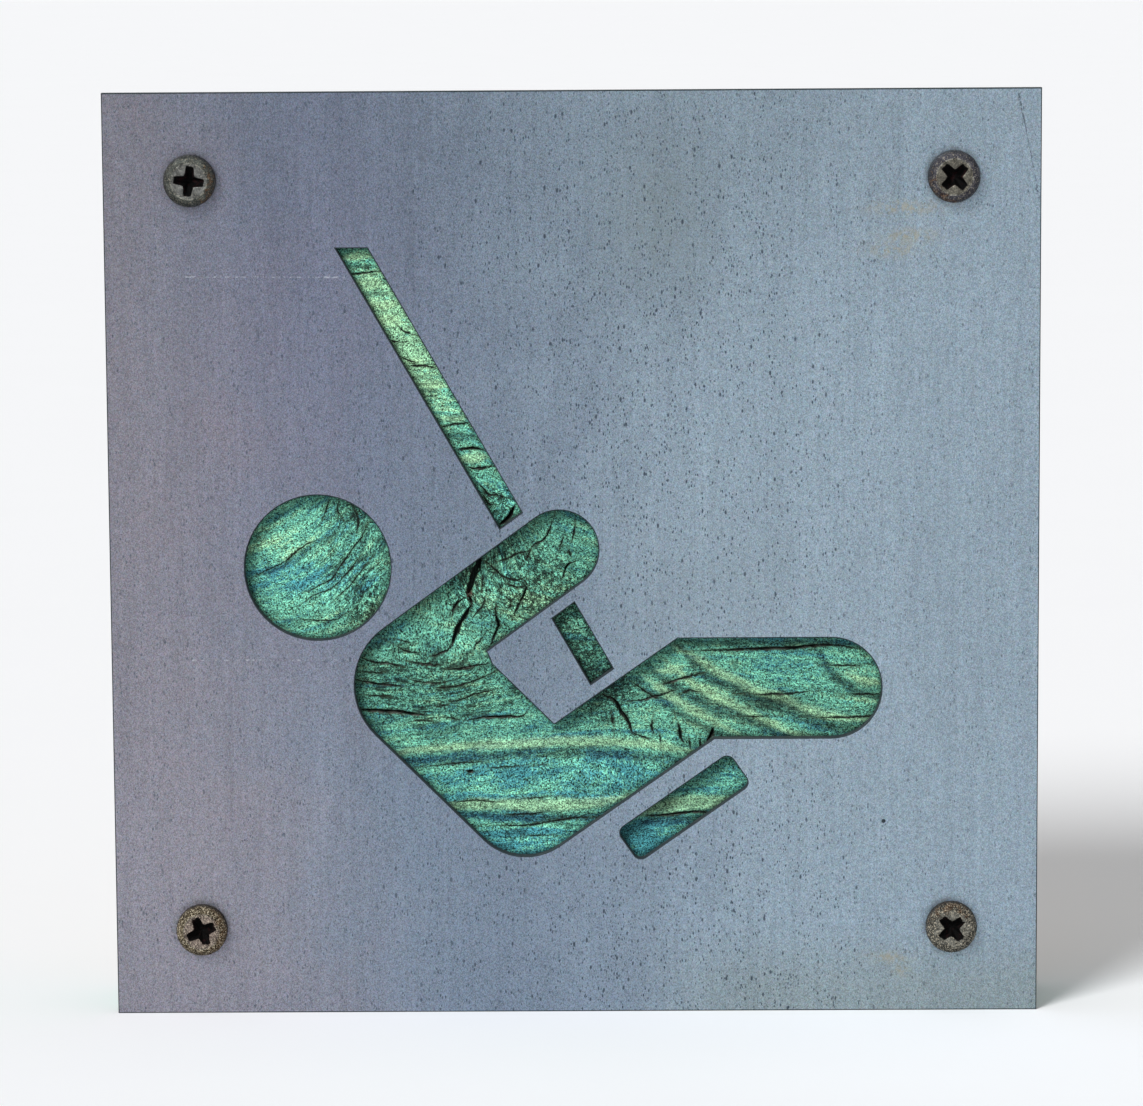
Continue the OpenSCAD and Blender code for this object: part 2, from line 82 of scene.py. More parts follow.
# Drying cracks in the openings: half width and points (across, up), in millimetres of the front view
CRACKS = (
    (0.55, ((-14.3, 75.3), (-15.1, 72.9), (-15.8, 71), (-16.2, 69.5), (-16.7, 68.2))),
    (0.22, ((-16.5, 68.8), (-16, 67.8), (-15.8, 66.8))),
    (0.38, ((-15.7, 67.5), (-16.5, 66), (-17.1, 65.1), (-18, 63.5), (-18.7, 61.7), (-19.3, 60))),
    (0.16, ((-19.2, 60.7), (-19.8, 59.8), (-21, 59.2), (-22.4, 58.9))),
    (0.20, ((-16.7, 68.4), (-17.6, 67.7), (-18.7, 66.6), (-19, 65.3))),
    (0.16, ((-2.9, 80.7), (-3.4, 79), (-4.5, 77.3), (-6, 76.6), (-6.6, 75.6))),
    (0.12, ((-6.5, 75.7), (-7.8, 75.4), (-9, 75.1), (-10, 74.5), (-11.7, 74))),
    (0.13, ((-6.4, 76), (-6.8, 74.9), (-7.3, 74))),
    (0.15, ((-14, 74.1), (-12.8, 73.3), (-11.7, 72.3), (-10.8, 71.5), (-9, 71), (-7.6, 71.3), (-6.9, 72.2))),
    (0.18, ((-7.4, 71.2), (-7.1, 69.9), (-7.6, 68.5), (-8.3, 67.2), (-9.1, 65.4))),
    (0.12, ((-10.3, 70.3), (-8.9, 69.9), (-7, 70))),
    (0.13, ((0.6, 79.8), (0.5, 78.6), (0.1, 77.4))),
    (0.10, ((-1.3, 77.8), (-1.8, 76.2))),
    (0.20, ((0.5, 74), (-0.7, 73.1), (-1.4, 71.2))),
    (0.12, ((-0.5, 75.9), (0.1, 74.6))),
    (0.20, ((-12, 67.2), (-12, 65.4), (-11.6, 63.8), (-12.3, 62), (-12.9, 60.4))),
    (0.10, ((-14, 71.8), (-14.3, 69.8))),
    (0.09, ((-13.6, 68.3), (-14.2, 66.8), (-15.4, 65.4))),
    (0.14, ((-14.1, 62), (-14.7, 61.1), (-15.3, 60.6), (-15.6, 59.6))),
    (0.10, ((-10.5, 68.5), (-9.6, 67.4), (-10.2, 66.2))),
    (0.16, ((-33.8, 58.7), (-31.2, 57.8), (-28.9, 57.6), (-26.6, 57.1))),
    (0.11, ((-33.6, 56.4), (-31.5, 56.2), (-30, 56.3))),
    (0.10, ((-28, 60.5), (-26.2, 59.6), (-24, 59.4))),
    (0.09, ((-27.5, 61.4), (-25.5, 61))),
    (0.15, ((-26.2, 58), (-24.4, 57.7), (-22.1, 57.4), (-20, 57.4))),
    (0.15, ((-20, 56.7), (-17.5, 56.9), (-14.8, 57.4), (-12.9, 57.7))),
    (0.18, ((-34.8, 55.2), (-32.1, 54.6), (-29.8, 54.3), (-26.8, 54.1))),
    (0.14, ((-25.5, 55.1), (-23.5, 54.6), (-19.8, 54.6))),
    (0.15, ((-21.6, 53.8), (-18.9, 54), (-16.2, 54.6), (-13.9, 55.5), (-11.7, 56.6))),
    (0.10, ((-32.5, 52.6), (-29.5, 52.4))),
    (0.12, ((-19.6, 51.5), (-17.5, 51.9), (-15.3, 52.8), (-12.8, 53.3))),
    (0.08, ((-21.8, 50.8), (-19.6, 51))),
    (0.28, ((-34.6, 50.4), (-31.2, 50.1), (-27.1, 49.9), (-24.8, 49.5), (-22.6, 49.4))),
    (0.08, ((-25, 48.6), (-22, 48.4))),
    (0.13, ((-20.2, 49), (-17.8, 48.8))),
    (0.20, ((-16.8, 48.6), (-14.4, 49), (-10.7, 49.2), (-8, 49.2), (-6.9, 50.2))),
    (0.09, ((-22.4, 41.3), (-17, 41.8), (-13.3, 41.9))),
    (0.22, ((-16.7, 40.5), (-15.4, 40.4))),
    (0.08, ((-13.2, 41), (-8, 41.3))),
    (0.09, ((-18.6, 35.5), (-15.5, 35.8), (-12, 35.6))),
    (0.09, ((-7.3, 36.1), (-3.8, 36.4))),
    (0.11, ((-10.4, 33.5), (-7, 33.6), (-4.2, 33.9))),
    (0.12, ((-12, 31.8), (-7, 31.8), (-4, 32.3), (0.5, 33), (2.8, 33.1))),
    (0.08, ((-7.4, 30.2), (-3.3, 30.2))),
    (0.26, ((4.8, 52.8), (6.5, 52.1), (7.4, 51.2), (8, 50), (8.8, 48.9), (9.4, 47.8), (9.9, 46.2))),
    (0.13, ((9.9, 46.6), (11, 46.1), (12.6, 45.7))),
    (0.13, ((6.5, 49.6), (6.7, 47.9))),
    (0.15, ((13, 48.8), (12.9, 47.6), (13.3, 46.3))),
    (0.14, ((14.1, 46.5), (14.3, 45.1))),
    (0.19, ((17, 48.2), (17.4, 46.9), (17.5, 45.9), (18.2, 44.8))),
    (0.14, ((18.8, 45.6), (19.1, 44.2))),
    (0.14, ((20.6, 45.8), (20.7, 44.2))),
    (0.26, ((22.8, 47.6), (22.4, 46.3), (21.6, 45.1))),
    (0.16, ((9.1, 51.6), (11.5, 51.9), (13, 52.3), (14.5, 52.7), (16.8, 53.5))),
    (0.14, ((9.8, 54.7), (12, 53.1), (13.8, 52))),
    (0.19, ((14.4, 54.2), (16.5, 54.9), (18.5, 55.5), (21.1, 56.1))),
    (0.12, ((17.6, 52.8), (19, 53.3), (20.4, 53.2))),
    (0.21, ((20, 59.7), (27.5, 59.9), (35.7, 60.2), (39, 60.5), (42.3, 60.6), (46.4, 59.9))),
    (0.14, ((29, 52.8), (33.5, 52.8), (38, 53.2))),
    (0.10, ((27.8, 49.2), (31.5, 49.3))),
    (0.14, ((39.3, 49.1), (44.5, 49.1), (48.8, 49.4))),
    (0.11, ((41.3, 57.4), (46.2, 57.4))),
    (0.11, ((44.5, 52.8), (49.5, 52.7))),
    (0.20, ((11.8, 33.4), (15, 33.5), (20, 34), (22.8, 33.7))),
    (0.10, ((-50.6, 71.6), (-48.1, 72.8), (-45.8, 73.9), (-44, 75.5), (-42.2, 76.7), (-40.6, 77.3))),
    (0.10, ((-42.6, 69), (-40.4, 70), (-38.3, 71.2), (-37, 73), (-34.9, 76), (-33.3, 78.2), (-32.3, 80.3))),
    (0.07, ((-42.8, 67.4), (-40.8, 68.7), (-38.1, 69.8), (-35.8, 72.1), (-33.8, 74.6))),
    (0.07, ((-37.6, 68), (-35, 70.5), (-32.6, 73.6))),
    (0.12, ((-38.7, 83.8), (-39.2, 82), (-39.9, 80.3))),
    (0.08, ((-37.1, 83.7), (-37.3, 82.2), (-36.6, 81))),
    (0.11, ((-34.6, 82.3), (-34, 80.5), (-34.2, 78.7))),
    (0.10, ((-43, 64.6), (-38.1, 64.6), (-36.4, 65.4))),
    (0.15, ((-35.6, 119.8), (-33.4, 120), (-30.7, 120.3))),
    (0.12, ((-27.1, 106.5), (-26, 106.1), (-24.7, 105.7))),
    (0.15, ((-25.8, 105.1), (-23.6, 105.2), (-21.6, 104.8))),
    (0.12, ((-27.7, 111.6), (-26.9, 110.8), (-25.6, 110.3))),
    (0.10, ((-28.9, 109.2), (-27.4, 109))),
    (0.13, ((-21, 95.3), (-19, 95.8), (-16.1, 96.1))),
    (0.20, ((-18.2, 91.8), (-16, 92), (-13.8, 91.8))),
    (0.16, ((-16.6, 88.9), (-14.6, 88.8), (-12.4, 89.2))),
    (0.14, ((-14.7, 86.3), (-13.8, 85.3), (-13, 84.5), (-12, 84.6), (-10.2, 84))),
    (0.13, ((-14.1, 84.5), (-13.3, 83.3), (-12.2, 82.9))),
    (0.36, ((-11.5, 79.7), (-10, 80.9), (-9, 83))),
)
# Pale and dark bands of the stain, in the same form
PALE_BANDS = (
    (0.75, ((-33, 42.6), (-28, 43.4), (-22, 44.1), (-16, 44.6), (-7, 44.9), (-1, 45.1), (6.5, 45.2),
           (11.5, 44.9), (15, 44.4), (18.5, 43.8), (25, 42.4))),
    (0.95, ((-25, 34.8), (-18, 35), (-10, 35.2), (0, 35.2), (6, 35.9), (13, 37.2))),
    (0.8, ((15, 61.5), (18.8, 59.2), (21.1, 57.8), (23.6, 56.3), (26.5, 55), (29, 53.6), (31.5, 52.7),
           (34, 51.9), (36.1, 50.8), (39, 49.8), (42.5, 49.2), (47, 48.7), (52, 48.4))),
    (0.8, ((14.5, 58.4), (17, 56.6), (18.8, 55), (21.9, 52.8), (25.7, 51.1), (28.6, 49.7), (31.1, 48.3),
           (34, 47.1), (39, 45.4))),
    (0.7, ((11, 56), (13.6, 54.1), (16.9, 51.7), (19.8, 50.2), (22.3, 48.8), (27, 46.2))),
    (0.6, ((43.3, 56.2), (46.5, 55.2), (49.5, 54.4))),
    (0.6, ((13, 56.6), (15.5, 56.5), (18, 57.2))),
    (1.1, ((8, 33.4), (13.5, 34.6), (18.5, 35.4), (24, 35.6), (30, 35.4))),
    (0.7, ((-36.8, 122.4), (-31.8, 122.7))),
    (1.0, ((-35, 118.7), (-29.8, 118.4))),
    (0.8, ((-32.8, 115.3), (-27.8, 114.8))),
    (0.8, ((-31.2, 112.6), (-26.4, 112.1))),
    (0.4, ((-26.8, 105.7), (-22.6, 106))),
    (0.7, ((-24.8, 102.3), (-20, 102.1))),
    (0.5, ((-21, 96.7), (-16.3, 97))),
    (0.8, ((-18, 90.3), (-13.2, 90.6))),
)
DARK_BANDS = (
    (0.8, ((-33, 41.4), (-27, 41.9), (-22, 42.3), (-16, 42.6), (-10, 43), (-4, 43.3), (2, 43.4), (8, 42.9),
           (12, 42.6), (17, 42.1), (24, 41))),
    (0.65, ((-24, 34), (-18.5, 33.6), (-10, 33), (-4, 32.9), (3, 33.2), (9, 33.4))),
    (0.9, ((15.6, 62.5), (18.3, 59.4), (19.6, 57.6), (21.4, 55.8), (23.6, 54.5), (26.9, 53.2), (30.2, 51.4),
           (33.2, 50.6), (35.7, 49.8), (38.2, 48.5), (41.1, 47.6), (45, 46.9), (51, 46))),
    (0.85, ((11, 58.4), (14.5, 55.4), (17.3, 53.4), (21.1, 51.5), (23.6, 50.4), (25.7, 49.6), (28.6, 48.6),
           (31.1, 47.4), (36, 45.2))),
    (0.5, ((9.6, 56), (12.4, 53.4), (15.7, 50.7), (19, 48.5), (21.5, 47.3), (26, 45))),
    (0.6, ((37, 62.5), (39.6, 59.4), (40.9, 57.2), (42.5, 55.2), (44.4, 53.9), (46.9, 52.7), (52, 51.4))),
    (0.3, ((17, 61.2), (25.5, 61), (33.5, 61), (39.5, 61.2), (45, 60.9))),
    (0.25, ((-50.5, 71.2), (-48, 72.2), (-45.8, 73.3), (-43.8, 74.9), (-41.5, 76.2))),
    (0.7, ((10.5, 32.3), (15, 32.6), (21, 32.9))),
    (0.3, ((-33.4, 116.9), (-28.8, 116.6))),
    (0.3, ((-36.6, 121.2), (-31.2, 120.9))),
    (0.8, ((-20.4, 94), (-15, 93.6))),
)
# Where the grain bends: middle (across, up), half width, half height and rise, in millimetres
GRAIN_HUMPS = (
    ((-2, 44), 24, 10, 2.4),
    ((-20, 56), 11, 6, -2.5),
    ((-24, 84), 17, 20, 15.0),
    ((12, 50), 20, 9, 3.0),
    ((-12, 108), 30, 14, 3.0),
    ((40, 100), 26, 18, -7.0),
    ((30, 14), 24, 12, 4.0),
)
KNOT = (-12.5, 73.5)
# Soft patches of the wood in the same form: knotty grain, fine checks, lighter or darker, yellower or bluer
KNOTTY_PARTS = (
    ((-11, 71), 13, 8, 1.3),
    ((-34, 67), 5, 6, 0.9),
    ((-13, 84), 6, 3, 0.9),
    ((-36, 82), 5, 4, 0.9),
    ((5, 53), 6, 6, 1.0),
    ((2, 60), 5, 8, 1.3),
    ((22, 57), 6, 3, 0.5),
)
CHECKED_PARTS = (
    ((-22, 53), 18, 8, 1.2),
    ((-36, 76), 8, 10, 0.8),
    ((-22, 98), 10, 14, 0.6),
    ((-8, 31), 16, 5, 0.6),
)
TONES = (
    ((-47, 79), 9, 6, 0.32),
    ((-41, 74), 9, 6, 0.14),
    ((-44, 70), 9, 6, 0.2),
    ((-40, 66), 8, 3, 0.1),
    ((-12, 70), 15, 9, 0.08),
    ((-6, 67), 5, 2.5, 0.2),
    ((-4.6, 72.3), 1.1, 0.8, -0.35),
    ((-33, 55), 5, 9, -0.12),
    ((-22, 53), 12, 6, -0.16),
    ((-7, 27), 16, 4, 0.5),
    ((26.1, 57.1), 0.8, 0.5, -0.6),
    ((0, 75), 3, 3.5, -0.14),
    ((-5, 38.5), 26, 3, 0.18),
    ((12, 40), 7, 3, 0.2),
    ((-4, 75), 9, 5, -0.08),
    ((32.5, 50.7), 5, 1.4, -0.6),
    ((47, 52.7), 3.5, 1.1, -0.3),
    ((45, 46.9), 4, 1, -0.25),
    ((2, 52), 6, 5, -0.2),
    ((9, 29), 6, 4, -0.05),
    ((17, 35), 9, 6, -0.08),
    # Painted shadow: the next three darken a band under the seat's upper-left edge
    ((12, 34.4), 3.5, 2, -0.3),
    ((17, 37.8), 3.5, 2, -0.3),
    ((22, 41), 3.5, 2, -0.3),
    ((-14, 82), 6, 5, -0.1),
    ((3, 59), 4, 7, -0.2),
    ((-30, 114), 10, 14, 0.6),
    ((-20, 97), 9, 9, 0.5),
    ((-12, 84), 4, 4, 0.85),
)
HUES = (
    ((-44, 71), 8, 3, -0.35),
    ((-47, 76.5), 6, 2.5, 0.5),
    ((-40, 66), 8, 3, 0.2),
    ((-5, 38.5), 26, 3, -0.33),
    ((-42, 76), 9, 6, -0.08),
    ((-7, 27), 14, 4, -0.45),
    ((12, 28), 7, 4, -0.5),
    ((-28, 109), 9, 16, 0.75),
    ((46, 52), 5, 6, 0.25),
    ((22, 53), 9, 6, 0.2),
    ((33, 56.5), 6, 2.5, -0.3),
    ((-12, 70), 16, 9, 0.08),
    ((-15, 62), 12, 12, 0.1),
    ((-6, 67), 5, 3, 0.3),
)
# Turn, open share of the recess, chew and pits of each plate screw. Then the screen colours of its flat and
# its rim, its rust and the side that the rust is on, its grains and its seed
SCREW_WEAR = {
    "screw_top_left": (-6.5, 0.97, 0.2, 0.05, (92, 93, 91), (66, 69, 66), 0.06, -20, 0.25, 1.0),
    "screw_top_right": (44, 0.93, 0.24, 0.06, (87, 85, 78), (62, 62, 68), 0.08, 225, 0.3, 2.0),
    "screw_bottom_left": (24, 0.86, 0.6, 0.12, (124, 112, 104), (98, 88, 70), 0.2, -10, 1.0, 3.0),
    "screw_bottom_right": (41, 0.9, 0.45, 0.1, (106, 105, 98), (86, 85, 79), 0.14, 95, 0.85, 4.0),
}
# Soft patches of the plate: lighter or darker, crowded with flecks, or stained by old water
STEEL_TONES = (
    ((30, 146), 26, 18, -0.12),
    ((11, 126), 15, 15, -0.11),
    ((20, 111), 20, 15, -0.03),
    ((-60, 38), 40, 46, 0.14),
)
FLECK_REGIONS = (
    ((10, 118), 34, 36, 1.1),
    ((18, 10), 32, 30, 1.3),
    ((10, 82), 40, 18, 0.5),
)
OCHRE_STAINS = (
    ((53.4, 131.0), 5.5, 1.3, 1.0),
    ((54.0, 126.6), 4.5, 1.1, 1.0),
    ((51.5, 124.2), 4.5, 1.0, 1.0),
    ((50.8, 8.8), 3.6, 0.9, 1.0),
    ((53.0, 6.6), 1.4, 1.0, 1.0),
)


def paint(red, green, blue):
    """Scene-linear colour of a paint whose screen colour is given from 0 to 255."""
    return tuple(((c / 255 + 0.055) / 1.055) ** 2.4 for c in (red, green, blue))


def is_wide(value):
    """Whether a value is a vector or a colour instead of a number."""
    if isinstance(value, Signal):
        return value.socket.type in ("VECTOR", "RGBA")
    return not isinstance(value, (int, float))


def pick_socket(sockets, key):
    """The socket at a place, or the one of a name that its node's settings switch on."""
    return sockets[key] if isinstance(key, int) else next(s for s in sockets if s.name == key and s.enabled)


class Signal:
    """Output of a node that takes part in plain arithmetic, by one more node for each step."""

    def __init__(self, wiring, socket):
        self.wiring = wiring
        self.socket = socket

    def step(self, operation, first, second):
        if operation == "MULTIPLY" and is_wide(first) != is_wide(second):
            vector, number = (first, second) if is_wide(first) else (second, first)
            return self.wiring.vector("SCALE", vector, scale=number)
        return (self.wiring.vector if is_wide(first) else self.wiring.math)(operation, first, second)

    def __add__(self, other):
        return self.step("ADD", self, other)

    def __radd__(self, other):
        return self.step("ADD", other, self)

    def __sub__(self, other):
        return self.step("SUBTRACT", self, other)

    def __rsub__(self, other):
        return self.step("SUBTRACT", other, self)

    def __mul__(self, other):
        return self.step("MULTIPLY", self, other)

    def __rmul__(self, other):
        return self.step("MULTIPLY", other, self)

    def __truediv__(self, other):
        return self.step("DIVIDE", self, other)

    def __rtruediv__(self, other):
        return self.step("DIVIDE", other, self)

    def __abs__(self):
        return (self.wiring.vector if is_wide(self) else self.wiring.math)("ABSOLUTE", self)


class Wiring:
    """Adds nodes to one tree and joins them."""

    def __init__(self, tree):
        self.tree = tree

    def feed(self, socket, value):
        """Links a socket to another node's output, or sets its own value."""
        if isinstance(value, Signal):
            self.tree.links.new(value.socket, socket)
        elif socket.type == "RGBA":
            socket.default_value = (*value, 1.0)
        else:
            socket.default_value = value

    def outputs(self, kind, sockets=None, **settings):
        """New node with its settings and its sockets filled. Returns its outputs by name."""
        made = self.tree.nodes.new(kind)
        made.location = (180 * (len(self.tree.nodes) % 12), -220 * (len(self.tree.nodes) // 12))
        for name, value in settings.items():
            setattr(made, name, value)
        for key, value in (sockets or {}).items():
            self.feed(pick_socket(made.inputs, key), value)
        return {s.name: Signal(self, s) for s in made.outputs if s.enabled}

    def node(self, kind, sockets=None, **settings):
        """New node in the same way. Returns its first output."""
        return next(iter(self.outputs(kind, sockets, **settings).values()))

    def math(self, operation, *values, clamp=False):
        return self.node("ShaderNodeMath", dict(enumerate(values)), operation=operation, use_clamp=clamp)

    def most(self, *values):
        """Largest of several numbers."""
        return reduce(lambda first, second: self.math("MAXIMUM", first, second), values)

    def least(self, first, second):
        return self.math("MINIMUM", first, second)

    def linear(self, value, slope, start):
        return self.math("MULTIPLY_ADD", value, slope, start)

    def held(self, first, second):
        """Product of two numbers, held between 0 and 1."""
        return self.math("MULTIPLY", first, second, clamp=True)

    def vector(self, operation, *values, scale=None):
        sockets = dict(enumerate(values))
        if scale is not None:
            sockets["Scale"] = scale
        return self.node("ShaderNodeVectorMath", sockets, operation=operation)

    def split(self, vector):
        return list(self.outputs("ShaderNodeSeparateXYZ", {0: vector}).values())

    def join(self, x, y, z):
        return self.node("ShaderNodeCombineXYZ", {0: x, 1: y, 2: z})

    def ramp(self, value, low, high, to_low=0.0, to_high=1.0, smooth=True):
        """Value from low to high, carried over to another range and held at its ends."""
        kind = "SMOOTHSTEP" if smooth else "LINEAR"
        sockets = dict(enumerate((value, low, high, to_low, to_high)))
        return self.node("ShaderNodeMapRange", sockets, interpolation_type=kind, clamp=True)

    def noise(self, vector, scale=1.0, detail=2.0, rough=0.5, seed=0.0, warp=0.0, output=0):
        """Noise at a scale for every axis or for each, with the pattern moved by its seed."""
        if isinstance(scale, Signal) or isinstance(seed, Signal):
            moved = self.vector("SCALE", vector, scale=scale) + self.vector("SCALE", SEED_STEP, scale=seed)
        else:
            each = scale if isinstance(scale, tuple) else (scale,) * 3
            moved = self.vector("MULTIPLY_ADD", vector, each, tuple(step * seed for step in SEED_STEP))
        sockets = {"Vector": moved, "Scale": 1.0, "Detail": detail, "Roughness": rough, "Distortion": warp}
        return list(self.outputs("ShaderNodeTexNoise", sockets).values())[output]

    def colour_noise(self, vector, *values):
        """Noise of three parts, each around 0."""
        return self.noise(vector, *values, output=1) - (0.5, 0.5, 0.5)

    def blend(self, share, first, second, kind="RGBA"):
        """Mix of two colours or of two numbers."""
        place = {"FLOAT": 2, "RGBA": 6}[kind]
        return self.node("ShaderNodeMix", {0: share, place: first, place + 1: second}, data_type=kind)

    def spot(self, place, middle, spread):
        """Soft round or oval patch that is 1 at its middle."""
        away = (place - middle) / spread
        return self.math("EXPONENT", self.vector("DOT_PRODUCT", away, away) * -1.0)

    def spots(self, place, y, deep, rows):
        """Sum of soft patches of an upright face: middle, half width, half height and strength."""
        patches = (
            self.spot(place, (across, y, up), (wide, deep, high)) * strength
            for (across, up), wide, high, strength in rows
        )
        return reduce(lambda first, second: first + second, patches)

    def attribute(self, name, output="Fac"):
        return self.outputs("ShaderNodeAttribute", attribute_name=name)[output]

    def group(self, build, **values):
        """Places a shared group and returns its outputs."""
        sockets = {key.capitalize(): value for key, value in values.items()}
        return self.outputs("ShaderNodeGroup", sockets, node_tree=build())

    def shape(self, kind, geometry, sockets=None, **settings):
        """Passes a geometry through one node."""
        return self.node("GeometryNode" + kind, {"Geometry": geometry, **(sockets or {})}, **settings)

    def finish(self, geometry, material, output):
        """Ends a tree of Geometry Nodes with plain geometry and its material."""
        made = self.shape("RealizeInstances", geometry)
        self.feed(output, self.shape("SetMaterial", made, {"Material": material}))

    def store(self, geometry, name, value):
        """Keeps a value as an attribute of the geometry's points."""
        kind = "FLOAT_VECTOR" if is_wide(value) else "FLOAT"
        sockets = {"Name": name, "Value": value}
        return self.shape("StoreNamedAttribute", geometry, sockets, data_type=kind, domain="POINT")


def start_tree(name, kind, inputs, outputs):
    """New tree, its sockets given by kind or default value. Returns its wiring and their inner ends."""
    tree = bpy.data.node_groups.new(name, kind)
    for label, value in inputs.items():
        sort = value if isinstance(value, str) else {int: "Int", float: "Float", tuple: "Vector"}[type(value)]
        socket = tree.interface.new_socket(label, in_out="INPUT", socket_type="NodeSocket" + sort)
        if sort != value:
            socket.default_value = value
    for label, sort in outputs.items():
        tree.interface.new_socket(label, in_out="OUTPUT", socket_type="NodeSocket" + sort)
    w = Wiring(tree)
    return w, w.outputs("NodeGroupInput"), tree.nodes.new("NodeGroupOutput").inputs


def shared_group(name, inputs, outputs):
    """Makes a group once from what its builder returns, and hands out the same tree later."""
    def wrap(build):
        def find():
            tree = bpy.data.node_groups.get(name)
            if tree is None:
                w, take, give = start_tree(name, "ShaderNodeTree", inputs, outputs)
                made = build(w, *[take[label] for label in inputs])
                for socket, value in zip(give, made if isinstance(made, tuple) else (made,)):
                    w.feed(socket, value)
                tree = w.tree
            return tree
        return find
    return wrap


@shared_group(
    "Fine grit",
    {"Place": "Vector", "Size": 0.3, "Depth": 0.1, "Seed": 0.0},
    {"Shade": "Float", "Height": "Float"},
)
def fine_grit(w, place, size, depth, seed):
    """Fine irregular grain: a shade around 1 and a height."""
    fine = w.noise(place, 1.0 / size, 3.0, 0.65, seed)
    return w.linear(fine - 0.5, depth * 2.0, 1.0), fine


@shared_group(
    "Rust bloom",
    {"Place": "Vector", "Size": 1.5, "Cover": 0.3, "Seed": 0.0},
    {"Mask": "Float", "Colour": "Color", "Height": "Float"},
)
def rust_bloom(w, place, size, cover, seed):
    """Patches of rust: how far it covers, its colour and its raised grain."""
    per_size = 1.0 / size
    patch = w.noise(place, per_size, 5.0, 0.68, seed, 0.4)
    mask = w.ramp(patch - w.linear(cover, -0.75, 0.83), -0.05, 0.07)
    tone = w.noise(place, per_size * 2.6, 3.0, 0.6, seed + 7.0)
    dark = w.blend(w.ramp(tone, 0.34, 0.55), paint(54, 38, 28), paint(108, 76, 52))
    colour = w.blend(w.ramp(tone, 0.54, 0.72), dark, paint(156, 124, 84))
    return mask, colour, mask * tone


@shared_group(
    "Scattered dots",
    {"Place": "Vector", "Spacing": 1.5, "Radius": 0.2, "Share": 0.3, "Seed": 0.0},
    {"Mask": "Float"},
)
def scattered_dots(w, place, spacing, radius, share, seed):
    """Round dots strewn over a surface: one in some of the cells of a loose net."""
    net = w.outputs("ShaderNodeTexVoronoi", {"Vector": place + SEED_STEP * seed, "Scale": 1.0 / spacing})
    size, pick = w.split(net["Color"])[:2]
    away = net["Distance"] * spacing
    dot = w.ramp(away / (radius * w.ramp(size, 0.0, 1.0, 0.45, 1.0, smooth=False)), 1.15, 0.55)
    return dot * w.math("LESS_THAN", pick, share)


@shared_group("Worn edge", {"Place": "Vector", "Edge": 0.0, "Size": 1.0, "Ragged": 0.5}, {"Mask": "Float"})
def worn_edge(w, place, edge, size, ragged):
    """Broken line of wear along an edge that an attribute marks."""
    bite = (w.noise(place, 1.0 / size, 4.0, 0.6, 3.0) - 0.5) * (ragged * 2.0)
    return w.ramp(edge + bite, 0.25, 0.75)


@shared_group("Settled dust", {"Place": "Vector", "Normal": "Vector", "Amount": 0.3}, {"Mask": "Float"})
def settled_dust(w, place, normal, amount):
    """Dust that lies where a surface looks up, thicker in some places than in others."""
    upward = w.ramp(w.split(normal)[2], 0.25, 0.95)
    cloud = w.ramp(w.noise(place, 0.5, 5.0, 0.6, 11.0), 0.35, 0.7)
    return upward * cloud * amount


@shared_group(
    "Straight scratch",
    {"Place": "Vector", "Start": "Vector", "End": "Vector", "Width": 0.15, "Gaps": 0.5},
    {"Mask": "Float"},
)
def straight_scratch(w, place, start, end, width, gaps):
    """Broken straight line from one point to another on an upright face."""
    flat = place * (1.0, 0.0, 1.0)
    run = end - start
    reach = flat - start
    forward = w.vector("DOT_PRODUCT", reach, run)
    along = w.math("DIVIDE", forward, w.vector("DOT_PRODUCT", run, run), clamp=True)
    wobble = (w.noise(flat, 0.35, 2.0, 0.5, 5.0) - 0.5) * 0.9
    away = w.vector("LENGTH", reach - run * along)
    line = w.ramp(abs(away + wobble * 0.4), 0.0, width, 1.0, 0.0)
    return line * w.ramp(w.noise(flat, 1.3, 3.0, 0.6, 9.0), gaps, gaps + 0.08)


def start_material(name):
    """New material. Returns it with its wiring, its principled shader and the place in millimetres."""
    material = bpy.data.materials.new(name)
    material.use_nodes = True
    w = Wiring(material.node_tree)
    place = w.outputs("ShaderNodeTexCoord")["Object"] * (1 / MM)
    return material, w, material.node_tree.nodes["Principled BSDF"], place


def finish_shader(w, shader, sockets, relief=None):
    """Feeds a principled shader. The relief is a height, its unit in metres and its strength."""
    for name, value in sockets.items():
        w.feed(shader.inputs[name], value)
    if relief:
        bump = dict(zip(("Height", "Distance", "Strength"), relief))
        w.feed(shader.inputs["Normal"], w.node("ShaderNodeBump", bump))


def dusty(w, place, colour, amount, dust_colour):
    """Colour with dust on what looks up."""
    upward = w.outputs("ShaderNodeTexCoord")["Normal"]
    dust = w.group(settled_dust, place=place, normal=upward, amount=amount)["Mask"]
    return w.blend(dust, colour, dust_colour)


